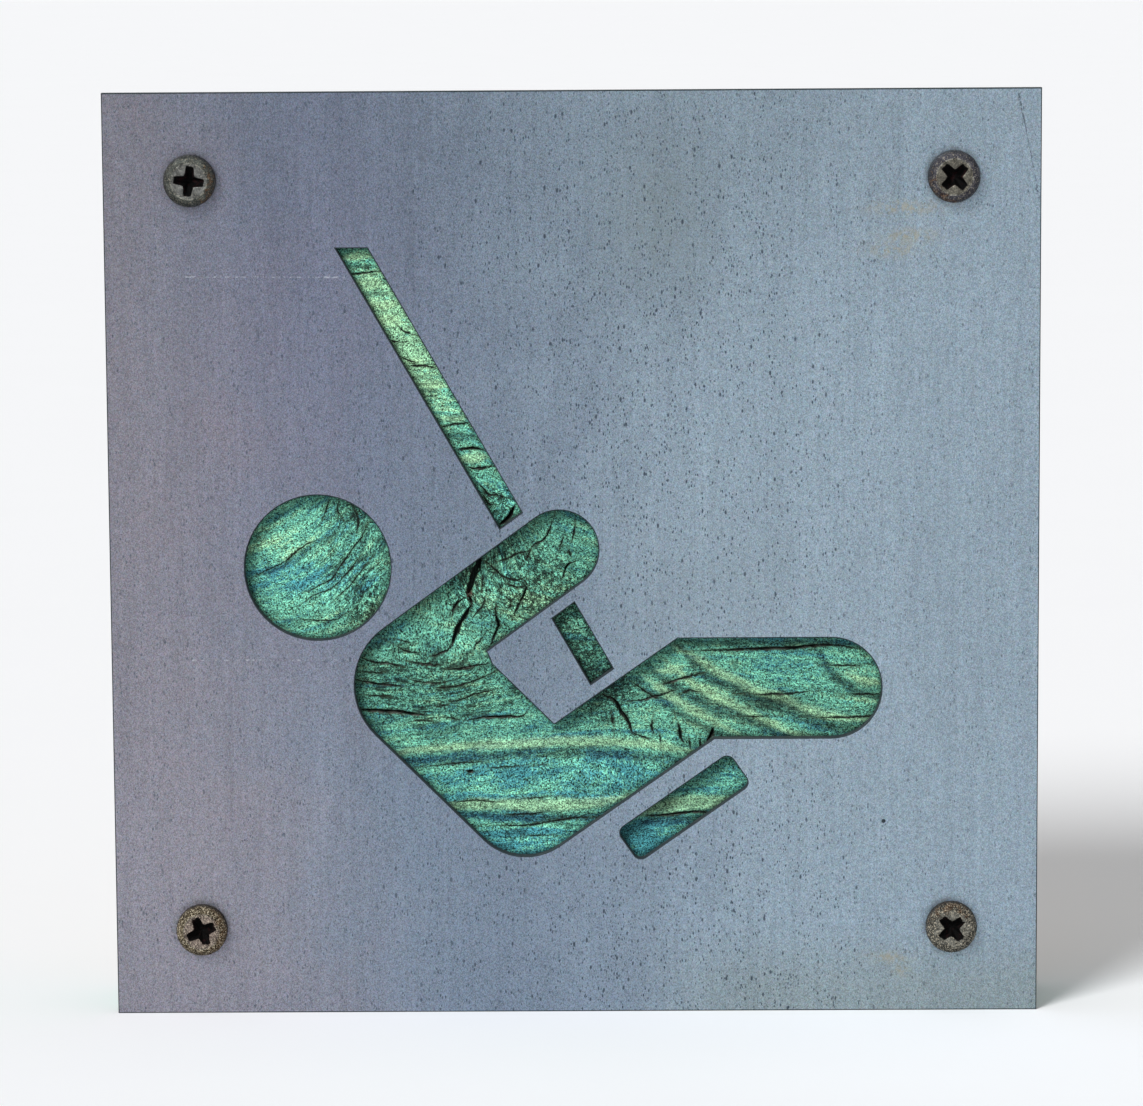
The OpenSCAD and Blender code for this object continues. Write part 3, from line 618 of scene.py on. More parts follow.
def plate_steel(look):
    """Cold steel with mill scale, flecks and scratches: purplish on the left and bluish on the right, partly
    its own patina and partly painted reflection.
    """
    material, w, shader, place = start_material("plate_steel")
    x, z = w.split(place)[::2]
    face = PLATE_LOW.y / MM

    def strewn(where, spacing, radius, share, seed):
        values = {"place": where, "spacing": spacing, "radius": radius, "share": share, "seed": seed}
        return w.group(scattered_dots, **values)["Mask"]

    def scratch(start, end, width, gaps):
        start, end = [(across, 0, up) for across, up in (start, end)]
        return w.group(straight_scratch, place=place, start=start, end=end, width=width, gaps=gaps)["Mask"]

    # Broad tone from left to right, darker towards the top, with shifts low down and a violet cast on the
    # left: partly the steel's own patina, partly painted reflection of the surroundings
    drift = x + w.noise(place, 0.045, 4.0, 0.55, 1.0, 0.6) * 34.0 + z * 0.15 - 28.0
    colour = w.blend(w.ramp(drift, -74.0, -26.0), look.left_steel, look.middle_steel)
    colour = w.blend(w.ramp(drift, -24.0, 34.0), colour, look.right_steel)
    colour *= w.ramp(z, 98.0, 150.0, 1.0, w.ramp(x, -10.0, 60.0, 0.87, 0.93))
    low_left = w.ramp(z, 66.0, 8.0, 0.0, 0.115) * w.ramp(x, 45.0, 5.0)
    low_right = w.ramp(z, 32.0, 0.0, 0.0, 0.075) * w.ramp(x, 42.0, 74.0)
    colour *= 1.0 + low_left - low_right
    colour *= w.spots(place, face, 40, STEEL_TONES) + 1.0
    violet = w.spot(place, (-42, face, 116), (20, 40, 52))
    colour = w.blend(violet, colour, colour * (1.0, 0.89, 0.94))
    low_edge = w.ramp(z, 16.0, 2.0) * w.ramp(x, 0.0, 30.0)
    colour = w.blend(low_edge, colour, colour * (0.93, 0.9, 0.82))

    # Vertical streaks from rolling, clouded scale and a sandy finish
    broad = w.noise(place, (0.15, 0.0, 0.016), 3.0, 0.6, 2.0)
    thin = w.noise(place, (1.4, 0.0, 0.06), 3.0, 0.6, 3.0)
    mottle = w.noise(place, 0.55, 5.0, 0.62, 4.0, 0.3)
    sand = w.noise(place, (7.0, 7.0, 5.4), 2.0, 0.8, 5.0)
    colour *= broad * 0.24 + thin * 0.34 + 0.71
    colour *= mottle * 0.2 + sand * 2.5 - 0.36
    motley = w.colour_noise(place, 3.4, 1.0, 0.6, 15.0)
    colour *= w.vector("MULTIPLY_ADD", motley, (0.42, 0.2, 0.36), (1.0, 1.0, 1.0))
    low_patch = w.spot(place, (22, face, 70), (15, 40, 12)) * 0.4
    thick = w.most(w.spot(place, (14.0, face, 130.0), (8, 40, 13)), low_patch)
    olive = thick * w.ramp(mottle, 0.35, 0.65, 0.15, 0.5)
    colour = w.blend(olive, colour, paint(112, 122, 122))

    # Dark flecks of scale in vertical strings, crowded in some regions
    to_right = w.ramp(x, -60.0, 10.0, 0.0, 0.25) - w.ramp(x, 30.0, 58.0, 0.0, 0.6)
    crowd = w.spots(place, face, 60, FLECK_REGIONS) + w.ramp(thin, 0.4, 0.62) * 0.45 + to_right
    crowd = w.most(crowd, 0.0)
    patchy = w.ramp(w.noise(place, (0.5, 0.5, 0.25), 3.0, 0.6, 7.0), 0.36, 0.6, 0.25, 0.8)
    patchy = w.held(patchy, w.ramp(crowd, 0.1, 1.3, 0.75, 1.35))
    oval = place * (1.3, 1.3, 0.65)
    flecks = strewn(oval, 0.56, 0.21, w.linear(crowd, 0.62, 0.11), 3.0)
    colour = w.blend(flecks * patchy, colour, look.fleck)
    dots = strewn(oval, 1.3, 0.31, w.linear(crowd, 0.26, 0.03), 1.0)
    colour = w.blend(dots * w.ramp(crowd, 0.0, 1.2, 0.35, 0.85), colour, paint(52, 61, 72))
    speck = w.ramp(w.vector("DISTANCE", place, (50.0, face, 31.4)), 0.42, 0.26)
    colour = w.blend(speck * 0.9, colour, paint(24, 28, 34))
    colour = w.blend(strewn(place, 3.4, 0.15, 0.3, 5.0) * 0.75, colour, paint(226, 230, 234))

    # Ochre stains of old water, a darker ring close round each screw head, and patches of rust towards the
    # right
    screws_out = SCREW_REACH / MM
    near_screw = w.vector("LENGTH", w.join(abs(x) - screws_out, 0.0, abs(z - PLATE_MIDDLE / MM) - screws_out))
    ring_round_screws = w.ramp(near_screw, 4.1, 5.4, 0.4, 0.0) * w.ramp(mottle, 0.42, 0.58)
    ochre = w.spots(place, face, 40, OCHRE_STAINS)
    ochre = w.held(ochre, w.ramp(w.noise(place, 1.4, 4.0, 0.6, 6.0), 0.36, 0.62))
    colour = w.blend(ochre * 0.62, colour, paint(152, 146, 122))
    colour = w.blend(ring_round_screws, colour, paint(84, 86, 88))
    rust = w.group(rust_bloom, place=place, size=2.4, cover=0.13, seed=4.0)
    bloom = rust["Mask"] * w.ramp(x, 30.0, 75.0, 0.0, 0.5)
    colour = w.blend(bloom, colour, rust["Colour"])

    # Scratches
    pale_line = w.most(
        scratch((-64, 120.6), (-36.5, 120.4), 0.16, 0.5),
        scratch((-62.3, 58.4), (-35.6, 58.3), 0.16, 0.5),
    )
    dark_line = w.most(
        scratch((71.3, 149.0), (73, 141), 0.24, 0.4),
        scratch((73, 141), (74.6, 132.5), 0.2, 0.44),
    )
    colour = w.blend(pale_line * 0.4, colour, paint(196, 202, 210))
    colour = w.blend(dark_line * 0.7, colour, paint(58, 66, 76))

    # Cut edges carry a thin dark oxide
    oxide = w.group(worn_edge, place=place, edge=w.attribute("edge"), size=1.6, ragged=0.25)["Mask"]
    colour = w.blend(oxide * 0.95, colour, look.cut_edge)
    colour = dusty(w, place, colour, 0.06, paint(190, 188, 182))

    bare = (1.0 - w.most(bloom, ochre * 0.5)) * w.linear(oxide, -0.9, 1.0)
    rough = w.most(bloom, oxide) * 0.3 + (mottle * 0.16 + flecks * 0.14 + 0.34)
    height = sand * 0.7 + mottle * 1.4 - flecks * 0.6 - dots * 1.2 - pale_line - dark_line * 1.5
    sockets = {"Base Color": colour, "Metallic": bare * 0.82, "Roughness": rough, "Specular IOR Level": 0.15}
    finish_shader(w, shader, sockets, (height, 0.02 * MM, 0.8))
    return material


def growth_rings(w, along, level, spacing, seed):
    """Growth rings: 0 in the soft early wood, rising to 1 in the late wood, then a sharp step back."""
    drift = w.noise(w.join(along * 0.014, 0.0, level * 0.09), 1.0, 3.0, 0.55, seed)
    count = level / spacing + drift * 4.0
    share = w.math("FRACT", count)
    rise = w.ramp(share, 0.25, 0.88) * w.ramp(share, 1.0, 0.92)
    strength = w.node("ShaderNodeTexWhiteNoise", {"W": w.math("FLOOR", count)}, noise_dimensions="1D")
    return rise * w.ramp(strength, 0.0, 1.0, 0.35, 1.0, smooth=False)


def stained_wood(look):
    """Old softwood under a thin blue-green stain, with its grain, hairline cracks and bare back."""
    material, w, shader, place = start_material("stained_wood")
    x, y, z = w.split(place)
    grain = w.attribute("grain", "Vector")
    along, level = w.split(grain)[::2]
    gnarl = w.attribute("gnarl")
    ring = growth_rings(w, along, level, look.ring_spacing, 4.0)
    blotch = w.noise(place, 0.16, 4.0, 0.6, 1.0, 0.4)
    strip = w.noise(grain, (0.14, 0.5, 0.85), 3.0, 0.6, 2.0)
    fibre = w.noise(grain, (0.8, 1.0, 3.4), 3.0, 0.7, 3.0)
    grains = w.outputs("ShaderNodeTexVoronoi", {"Vector": place, "Scale": 6.0})["Color"]
    pigment, pigment_hue = w.split(grains)[:2]
    speckle = w.linear(pigment, 0.3, w.noise(grain, (4.4, 4.6, 6.2), 2.0, 0.8, 4.0) - 0.15)
    tint = w.noise(place, 2.4, 2.0, 0.7, 5.0)

    # Stain: green on the soft early wood, blue on the hard late wood, with a speckle of both
    hue = w.attribute("hue") + strip * 1.3 - ring * 0.3 + tint * 1.1 + blotch * 0.7
    hue = hue + pigment_hue * 0.3 - 1.19
    colour = w.blend(w.ramp(hue, 0.0, 0.5), look.blue_stain, look.green_stain)
    colour = w.blend(w.ramp(hue, 0.55, 1.05), colour, look.yellow_stain)
    pale = w.held(w.attribute("pale"), w.ramp(fibre, 0.25, 0.5, 0.6, 1.0))
    deep = w.held(w.attribute("deep"), w.ramp(fibre, 0.7, 0.3, 0.6, 1.0))
    colour = w.blend(pale * 0.66, colour, look.pale_stain)
    deep_tone = w.blend(w.ramp(hue, 0.15, 0.6), look.deep_stain, paint(32, 62, 54))
    colour = w.blend(deep * 0.95, colour, deep_tone)

    # Light and dark: the marked tones, the murk of knotty grain, strips, fibres and speckle
    colour *= w.attribute("tone") + 1.0
    murk = w.ramp(w.noise(place, 0.9, 4.0, 0.75, 8.0, 0.8), 0.38, 0.58, 0.55, 1.2)
    colour *= w.blend(gnarl, 1.0, murk, "FLOAT")
    colour *= w.ramp(strip, 0.34, 0.66, 0.84, 1.16, smooth=False)
    colour *= w.ramp(fibre, 0.32, 0.68, 0.62, 1.36, smooth=False)
    side = w.ramp(y, BOARD_LOW.y / MM + 0.3, BOARD_LOW.y / MM + 1.4)
    colour *= w.blend(side, 1.0, w.ramp(ring, 0.0, 1.0, 1.12, 0.55), "FLOAT")
    rough_grain = w.ramp(speckle, 0.34, 0.66, 0.0, 2.2, smooth=False)
    even_grain = w.ramp(speckle, 0.34, 0.66, 0.03, 2.1, smooth=False)
    grainy = w.blend(w.ramp(gnarl, 0.0, 0.7), even_grain, rough_grain, "FLOAT")
    calm = w.most(pale * 0.2, side * 0.55)
    colour *= w.blend(calm, grainy, 1.0, "FLOAT")
    colour *= (1.03, 0.965, 1.05)
    rough_part = w.most(gnarl, w.attribute("checks"))
    clots = w.noise(grain, (1.7, 2.0, 2.9), 3.0, 0.75, 16.0)
    black_grain = w.ramp(clots, 0.49, 0.435) * w.ramp(rough_part, 0.45, 1.0, 0.1, 0.8) * (1.0 - calm)
    colour *= w.linear(black_grain, -1.0, 1.06)

    # Hairlines along the grain, and crazing where the grain is knotty
    ridge = abs(w.noise(grain, (0.09, 0.4, 0.95), 3.0, 0.55, 6.0) - 0.5)
    broken = w.noise(place, 0.3, 3.0, 0.6, 9.0)
    checked = w.most(w.attribute("checks"), side * 0.7)
    hair = w.ramp(ridge, 0.075, 0.02) * w.ramp(broken, 0.47, 0.56) * w.ramp(checked, 0.0, 1.0, 0.15, 0.95)
    warped = w.vector("MULTIPLY_ADD", w.colour_noise(place, 0.8, 2.0, 0.6, 10.0), (3.0, 3.0, 3.0), place)
    cells = w.node("ShaderNodeTexVoronoi", {"Vector": warped, "Scale": 0.4}, feature="DISTANCE_TO_EDGE")
    craze = w.ramp(cells, 0.06, 0.02) * w.ramp(w.noise(place, 0.5, 3.0, 0.6, 11.0), 0.42, 0.52)
    swirl = w.math("FRACT", w.noise(place, 0.2, 3.0, 0.55, 12.0, 0.8) * 7.0)
    curls = w.ramp(abs(swirl - 0.5), 0.13, 0.04) * w.ramp(broken, 0.4, 0.52)
    craze = w.most(craze, curls) * w.ramp(gnarl, 0.15, 0.8, 0.0, 0.9)
    lines = w.most(hair, craze)
    across, half_width = w.split(w.attribute("crack", "Vector"))[:2]
    jag = w.noise(place, 2.0, 3.0, 0.7, 14.0) - 0.5
    pinch = w.ramp(w.noise(place, 0.9, 2.0, 0.6, 15.0), 0.34, 0.66, 0.55, 1.35, smooth=False)
    from_lip = abs(w.linear(jag, 0.5, across)) - w.linear(half_width, pinch, 0.02)
    crack = w.ramp(from_lip, 0.03, -0.04)
    lip = w.ramp(from_lip, 0.32, 0.0)

    # Bare softwood on the back and in the cuts for the hanger
    back = BOARD_HIGH.y / MM
    behind = w.ramp(y + (blotch - 0.5) * 2.4, back - 1.5, back - 0.4)
    from_cut = abs((place - (0.0, back, HANGER_MIDDLE / MM)) / (9.0, 9.0, 23.5))
    in_cut = w.math("LESS_THAN", w.most(*w.split(from_cut)), 1.0)
    bare = w.most(behind, in_cut)
    softwood = w.blend(ring, look.softwood_early, look.softwood_late)
    softwood *= w.ramp(fibre, 0.28, 0.72, 0.86, 1.12, smooth=False)
    softwood *= w.ramp(blotch, 0.3, 0.7, 0.88, 1.08)
    softwood *= w.ramp(w.noise(place, (0.9, 0.0, 0.05), 2.0, 0.5, 12.0), 0.35, 0.65, 0.94, 1.04)
    half_height = BOARD_HIGH.z / MM / 2
    to_rim = w.least(BOARD_HIGH.x / MM - abs(x), half_height - abs(z - half_height))
    bleed = w.ramp(w.linear(strip - 0.5, 16.0, to_rim), 0.5, 5.0, 0.8, 0.0) * (1.0 - in_cut)
    softwood = w.blend(bleed, softwood, look.green_stain)
    colour = w.blend(bare, colour, softwood)

    # Painted shadow under the plate's edge, darkest under its upper edges, then cracks with brown lips, and a
    # red speck in the deepest one
    painted_shade = w.attribute("shelter") * w.ramp(blotch, 0.3, 0.7, 0.75, 1.1)
    colour *= w.ramp(painted_shade, 0.0, 1.0, 1.0, 0.22, smooth=False)
    lines *= 1.0 - bare * 0.7
    colour = w.blend(lines * 0.9, colour, paint(22, 34, 30))
    colour = w.blend(lip * 0.5, colour, paint(54, 62, 42))
    colour = w.blend(crack * 0.96, colour, paint(9, 14, 13))
    red = w.spot(place, (-16.9, -8, 68.6), (0.5, 3, 0.5)) * w.ramp(speckle, 0.44, 0.56, 0.0, 0.8)
    colour = w.blend(red, colour, paint(112, 34, 36))
    colour = dusty(w, place, colour, 0.3, paint(186, 188, 176))
    height = fibre + speckle * 0.8 + strip * 0.6 - lines * 1.2 - crack * 1.6
    sockets = {"Base Color": colour, "Roughness": w.linear(fibre, 0.3, 0.52), "Specular IOR Level": 0.12}
    finish_shader(w, shader, sockets, (height, 0.16 * MM, 0.7))
    return material


def rusty_steel(name, middle, look, wear):
    """Steel of a plate screw's head: flat top, darker shoulder, grainy rust, and a recess painted near black
    as its shade, with patches of rust deep in it.
    """
    material, w, shader, place = start_material(name)
    flat_tone, rim_tone, cover, rust_side, grains, seed = wear
    local = place - tuple(c / MM for c in middle)
    x, z = w.split(local)[::2]
    out = w.vector("LENGTH", w.join(x, 0.0, z))
    mottle = w.noise(local, 1.0, 5.0, 0.7, seed, 0.4)
    grain = w.noise(local, 4.2, 2.0, 0.8, seed + 3.0)
    shoulder = w.ramp(w.linear(mottle, 0.5, out), 2.95, 3.3)
    colour = w.blend(shoulder, paint(*flat_tone), paint(*rim_tone))
    colour *= w.ramp(mottle, 0.34, 0.66, 0.55, 1.4)
    worn_line = w.ramp(abs(out - 2.9), 0.18, 0.02) * w.ramp(mottle, 0.44, 0.56, 0.0, 0.55)
    colour = w.blend(worn_line, colour, paint(150, 150, 140))
    turn = math.radians(rust_side)
    side = w.vector("DOT_PRODUCT", local, (math.cos(turn) / PAN_RADIUS, 0.0, math.sin(turn) / PAN_RADIUS))
    spread_to = cover + side * 0.3 + shoulder * 0.12
    rust = w.group(rust_bloom, place=local, size=0.8, cover=spread_to, seed=seed)
    colour = w.blend(rust["Mask"] * 0.5, colour, rust["Colour"])
    crust = w.ramp(out, 1.6, 3.4, 0.4, 1.0) * grains
    colour = w.blend(w.ramp(grain, 0.49, 0.4) * crust, colour, paint(24, 21, 18))
    colour = w.blend(w.ramp(grain, 0.55, 0.63) * crust, colour, look.bright_grain)
    ragged = w.group(worn_edge, place=local, edge=w.attribute("rim"), size=0.6, ragged=0.45)["Mask"]
    colour = w.blend(ragged * 0.8, colour, paint(34, 30, 27))
    # Painted shade: the cross recess goes near black, with patches of rust deep in it
    painted_shade = w.ramp(w.attribute("recess"), 0.0, 0.16)
    recess_shade_and_rust = w.blend(w.ramp(mottle, 0.54, 0.6), paint(5, 5, 6), look.recess_rust)
    colour = w.blend(painted_shade * 0.99, colour, recess_shade_and_rust)
    covered = w.most(rust["Mask"] * 0.6, painted_shade, crust * 0.5)
    rough = covered * 0.35 + mottle * 0.25 + 0.2
    height = grain * (crust + 0.4) + mottle * 1.4 + rust["Height"] * 1.4
    metal = (1.0 - covered) * 0.85
    sockets = {"Base Color": colour, "Metallic": metal, "Roughness": rough, "Specular IOR Level": 0.06}
    finish_shader(w, shader, sockets, (height, 0.16 * MM, 1.0))
    return material


def zinc_steel(name, scale):
    """Zinc-plated steel with faint spangle, brushed lines and a little rust and dust."""
    material, w, shader, place = start_material(name)
    spangle = w.outputs("ShaderNodeTexVoronoi", {"Vector": place, "Scale": scale})
    leaf = w.split(spangle["Color"])[0]
    brushed = w.noise(place * (7.0, 7.0, 0.25), 1.0, 3.0, 0.6, 2.0)
    cloud = w.noise(place, 0.3, 5.0, 0.6, 3.0)
    colour = w.blend(w.ramp(cloud, 0.35, 0.65), paint(176, 180, 184), paint(204, 206, 206))
    colour *= leaf * 0.1 + brushed * 0.12 + 0.88
    edge = w.group(worn_edge, place=place, edge=w.attribute("edge"), size=0.9, ragged=0.3)["Mask"]
    colour = w.blend(edge * 0.5, colour, paint(222, 222, 220))
    rust = w.group(rust_bloom, place=place, size=1.2, cover=w.linear(edge, 0.1, 0.06), seed=6.0)
    colour = w.blend(rust["Mask"] * 0.6, colour, rust["Colour"])
    # Painted shade: the screws' recesses go dark brown-grey
    painted_shade = w.ramp(w.attribute("recess"), 0.05, 0.6, 0.0, 0.75)
    colour = w.blend(painted_shade, colour, paint(52, 48, 44))
    grit = w.group(fine_grit, place=place, size=0.2, depth=0.08, seed=8.0)
    colour = dusty(w, place, colour * grit["Shade"], 0.4, paint(186, 184, 178))
    rough = leaf * 0.08 + cloud * 0.16 + 0.26
    metal = (1.0 - w.most(rust["Mask"] * 0.7, painted_shade)) * 0.95
    height = brushed + grit["Height"] + rust["Height"] * 2.0
    sockets = {"Base Color": colour, "Metallic": metal, "Roughness": rough}
    finish_shader(w, shader, sockets, (height, 0.02 * MM, 0.7))
    return material


def floor_paper(look):
    """Pale paper floor with faint fibres."""
    material, w, shader, place = start_material("floor_paper")
    fibres = w.noise(place, 0.02, 6.0, 0.6, 1.0)
    colour = look.floor_colour[:] * w.linear(fibres, 0.02, 0.99)
    rough = w.linear(fibres, 0.1, 0.8)
    finish_shader(w, shader, {"Base Color": colour, "Roughness": rough, "Specular IOR Level": 0.1})
    return material


def new_object(name, data):
    made = bpy.data.objects.new(name, data)
    bpy.context.scene.collection.objects.link(made)
    return made


def aim_at(made, direction, roll=0.0):
    """Turns a lamp or a camera along a direction."""
    made.rotation_mode = "QUATERNION"
    made.rotation_quaternion = direction.to_track_quat("-Z", "Y") @ Quaternion((0, 0, 1), roll)


def mesh_of(name, points, faces):
    mesh = bpy.data.meshes.new(name)
    mesh.from_pydata([tuple(p) for p in points], [], faces)
    return mesh


def finish_piece(piece, node):
    """The piece rides on the sign and stands for its node, which it hides."""
    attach(piece, BODY)
    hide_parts(node)


def merged_copy(node):
    """New bmesh of a node's mesh with its doubles merged."""
    bm = bmesh.new()
    bm.from_mesh(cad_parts[node].data)
    bmesh.ops.remove_doubles(bm, verts=bm.verts, dist=0.001 * MM)
    return bm


def outline_loops(node, y):
    """Closed outlines (across, up) of a node's flat face at y, with its metal on their left."""
    bm = merged_copy(node)
    flat = [f for f in bm.faces if all(abs(v.co.y - y) < 0.001 * MM for v in f.verts)]
    after = {}
    for face in flat:
        for loop in face.loops:
            if sum(f in flat for f in loop.edge.link_faces) == 1:
                after[loop.vert] = loop.link_loop_next.vert
    loops = []
    while after:
        start, at = after.popitem()
        loop = [start]
        while at is not start:
            loop.append(at)
            at = after.pop(at)
        loops.append(np.array([(v.co.x, v.co.z) for v in loop]))
    bm.free()
    return sorted(loops, key=lambda points: -np.ptp(points[:, 0]))


def moved_in(loop, distance):
    """Outline moved to its left by a distance, with its corners kept sharp."""
    run = np.roll(loop, -1, axis=0) - loop
    run /= np.linalg.norm(run, axis=1)[:, None]
    left = np.stack([-run[:, 1], run[:, 0]], axis=1)
    before = np.roll(left, 1, axis=0)
    mitre = (left + before) / np.maximum(1 + (left * before).sum(1), 0.2)[:, None]
    return loop + mitre * distance


def eased_slab(name, loops, front, back, ease, border):
    """Slab between two faces with rounded edges. An edge attribute marks them for the material."""
    bevel = [math.radians(a) for a in (90, 60, 30, 0)]
    rings = [(border, front, 0.0)]
    rings += [(ease * (1 - math.cos(a)), front + ease * (1 - math.sin(a)), 1.0) for a in bevel]
    rings += [(ease * (1 - math.cos(a)), back - ease * (1 - math.sin(a)), 1.0) for a in reversed(bevel)]
    rings.append((border, back, 0.0))
    points, faces, marks = [], [], []
    ends = {0: [], len(rings) - 1: []}
    for loop in loops:
        count = len(loop)
        first = len(points)
        for row, (inset, y, mark) in enumerate(rings):
            ring = moved_in(loop, inset)
            if row in ends:
                ends[row].append((len(points), ring))
            points += [(x, y, z) for x, z in ring]
            marks += [mark] * count
        for row in range(len(rings) - 1):
            a, b = first + row * count, first + (row + 1) * count
            faces += [(a + i, a + (i + 1) % count, b + (i + 1) % count, b + i) for i in range(count)]
    for groups in ends.values():
        ids = [first + i for first, ring in groups for i in range(len(ring))]
        lines = [[Vector((x, z, 0)) for x, z in ring] for first, ring in groups]
        faces += [tuple(ids[i] for i in face) for face in tessellate_polygon(lines)]
    mesh = mesh_of(name, points, faces)
    mesh.attributes.new("edge", "FLOAT", "POINT").data.foreach_set("value", marks)
    outward(mesh, smooth_angle=50)
    return mesh


def outward(mesh, smooth_angle=30):
    """Merges doubles, turns the faces outwards and shades them smooth, apart from sharp edges."""
    bm = bmesh.new()
    bm.from_mesh(mesh)
    bmesh.ops.remove_doubles(bm, verts=bm.verts, dist=0.0005 * MM)
    bmesh.ops.dissolve_degenerate(bm, edges=bm.edges, dist=0.0002 * MM)
    bmesh.ops.recalc_face_normals(bm, faces=bm.faces)
    bm.to_mesh(mesh)
    bm.free()
    mesh.shade_smooth()
    mesh.set_sharp_from_angle(angle=math.radians(smooth_angle))


def baked_mesh(piece, name):
    """Plain mesh of a piece with its modifiers, and the modifiers removed."""
    depsgraph = bpy.context.evaluated_depsgraph_get()
    result = piece.evaluated_get(depsgraph)
    mesh = bpy.data.meshes.new_from_object(result, preserve_all_data_layers=True, depsgraph=depsgraph)
    mesh.name = name
    piece.modifiers.clear()
    piece.data = mesh
    return mesh


def add_nodes(piece, tree, **values):
    """Geometry Nodes modifier with its inputs set by their identifiers."""
    modifier = piece.modifiers.new(tree.name, "NODES")
    modifier.node_group = tree
    names = {i.name: i.identifier for i in tree.interface.items_tree if i.in_out == "INPUT"}
    for key, value in values.items():
        modifier[names[key.replace("_", " ").capitalize()]] = value


def stations(low, high, step, round_r):
    """Places of the lines that cross a board's side: close at its rounded ends and even between them."""
    count = round((high - low - 2 * round_r) / step) + 1
    even = np.linspace(low + round_r, high - round_r, count)
    return np.concatenate(([low, low + 0.35 * round_r], even, [high - 0.35 * round_r, high]))


def inside(loop, x, z):
    """Which of the points lie inside a closed outline."""
    result = np.zeros(x.shape, bool)
    for (ax, az), (bx, bz) in zip(loop, np.roll(loop, -1, axis=0)):
        if az != bz:
            result ^= ((az > z) != (bz > z)) & (x < ax + (z - az) / (bz - az) * (bx - ax))
    return result


def spread(mask):
    """Mask grown by one cell each way."""
    grown = mask.copy()
    for shift in ((1, 0), (-1, 0)):
        grown |= np.roll(mask, shift, axis=(0, 1))
    wide = grown.copy()
    for shift in ((0, 1), (0, -1)):
        wide |= np.roll(grown, shift, axis=(0, 1))
    return wide


def parents(mask):
    """Cells of the next coarser level that hold a cell of the mask."""
    return mask[0::2, 0::2] | mask[1::2, 0::2] | mask[0::2, 1::2] | mask[1::2, 1::2]


def flowing_line(points, step):
    """Even points along a smooth curve through the given ones, with how far along it each is, from 0 to 1."""
    points = np.array(points, float)
    padded = np.concatenate(([2 * points[0] - points[1]], points, [2 * points[-1] - points[-2]]))
    line = []
    for a, b, c, d in zip(padded, padded[1:], padded[2:], padded[3:]):
        count = max(2, round(np.linalg.norm(c - b) / step))
        for t in np.arange(count) / count:
            line.append(b + 0.5 * t * (c - a + t * (2 * a - 5 * b + 4 * c - d + t * (3 * (b - c) + d - a))))
    line.append(points[-1])
    return np.array(line), np.linspace(0, 1, len(line))


def on_board(across, up):
    """Where a mark of the front view lies on the board, with that view's perspective taken out."""
    above = up - 70.0
    aside = 0.53 - 0.0064 * above - across * (0.01325 - 0.00017 * above)
    lift = 0.11 - 0.025 * above + 0.00017 * above ** 2 + 0.005 * across
    return across - aside, up - lift


def ribbons_object(name, marks, y, reach):
    """Ribbons along marked lines, raised at their sides, that carry the way across and the half width."""
    points, faces, notes = [], [], []
    for half_width, corners in marks:
        line, share = flowing_line([on_board(*corner) for corner in corners], 0.3)
        run = np.gradient(line, axis=0)
        left = np.stack([-run[:, 1], run[:, 0]], axis=1) / np.linalg.norm(run, axis=1)[:, None]
        taper = half_width * (1.3 * np.sin(np.pi * share) ** 0.5 - 0.3)
        first = len(points)
        for middle, side, width in zip(line, left, taper):
            for away in (-1.0, -0.5, 0.0, 0.5, 1.0):
                x, z = middle + side * away * reach
                points.append((x * MM, y - 0.5 * abs(away) * reach * MM, z * MM))
                notes += [away * reach, width if abs(away) < 0.9 else -reach, 0.0]
        for row in range(len(line) - 1):
            a = first + 5 * row
            faces += [(a + i, a + i + 1, a + i + 6, a + i + 5) for i in range(4)]
    mesh = mesh_of(name, points, faces)
    mesh.attributes.new("mark", "FLOAT_VECTOR", "POINT").data.foreach_set("vector", notes)
    return new_object(name, mesh)


def outlines_object(name, loops, y):
    """Closed lines around the openings, on the board's face."""
    points, edges = [], []
    for loop in loops:
        first, count = len(points), len(loop)
        edges += [(first + i, first + (i + 1) % count) for i in range(count)]
        points += [(x, y, z) for x, z in loop]
    mesh = bpy.data.meshes.new(name)
    mesh.from_pydata(points, edges, [])
    return new_object(name, mesh)


# How often the board's coarse cells are halved: where the openings show them, and at the cracks
FINE_LEVEL = 3
CRACK_LEVEL = 4


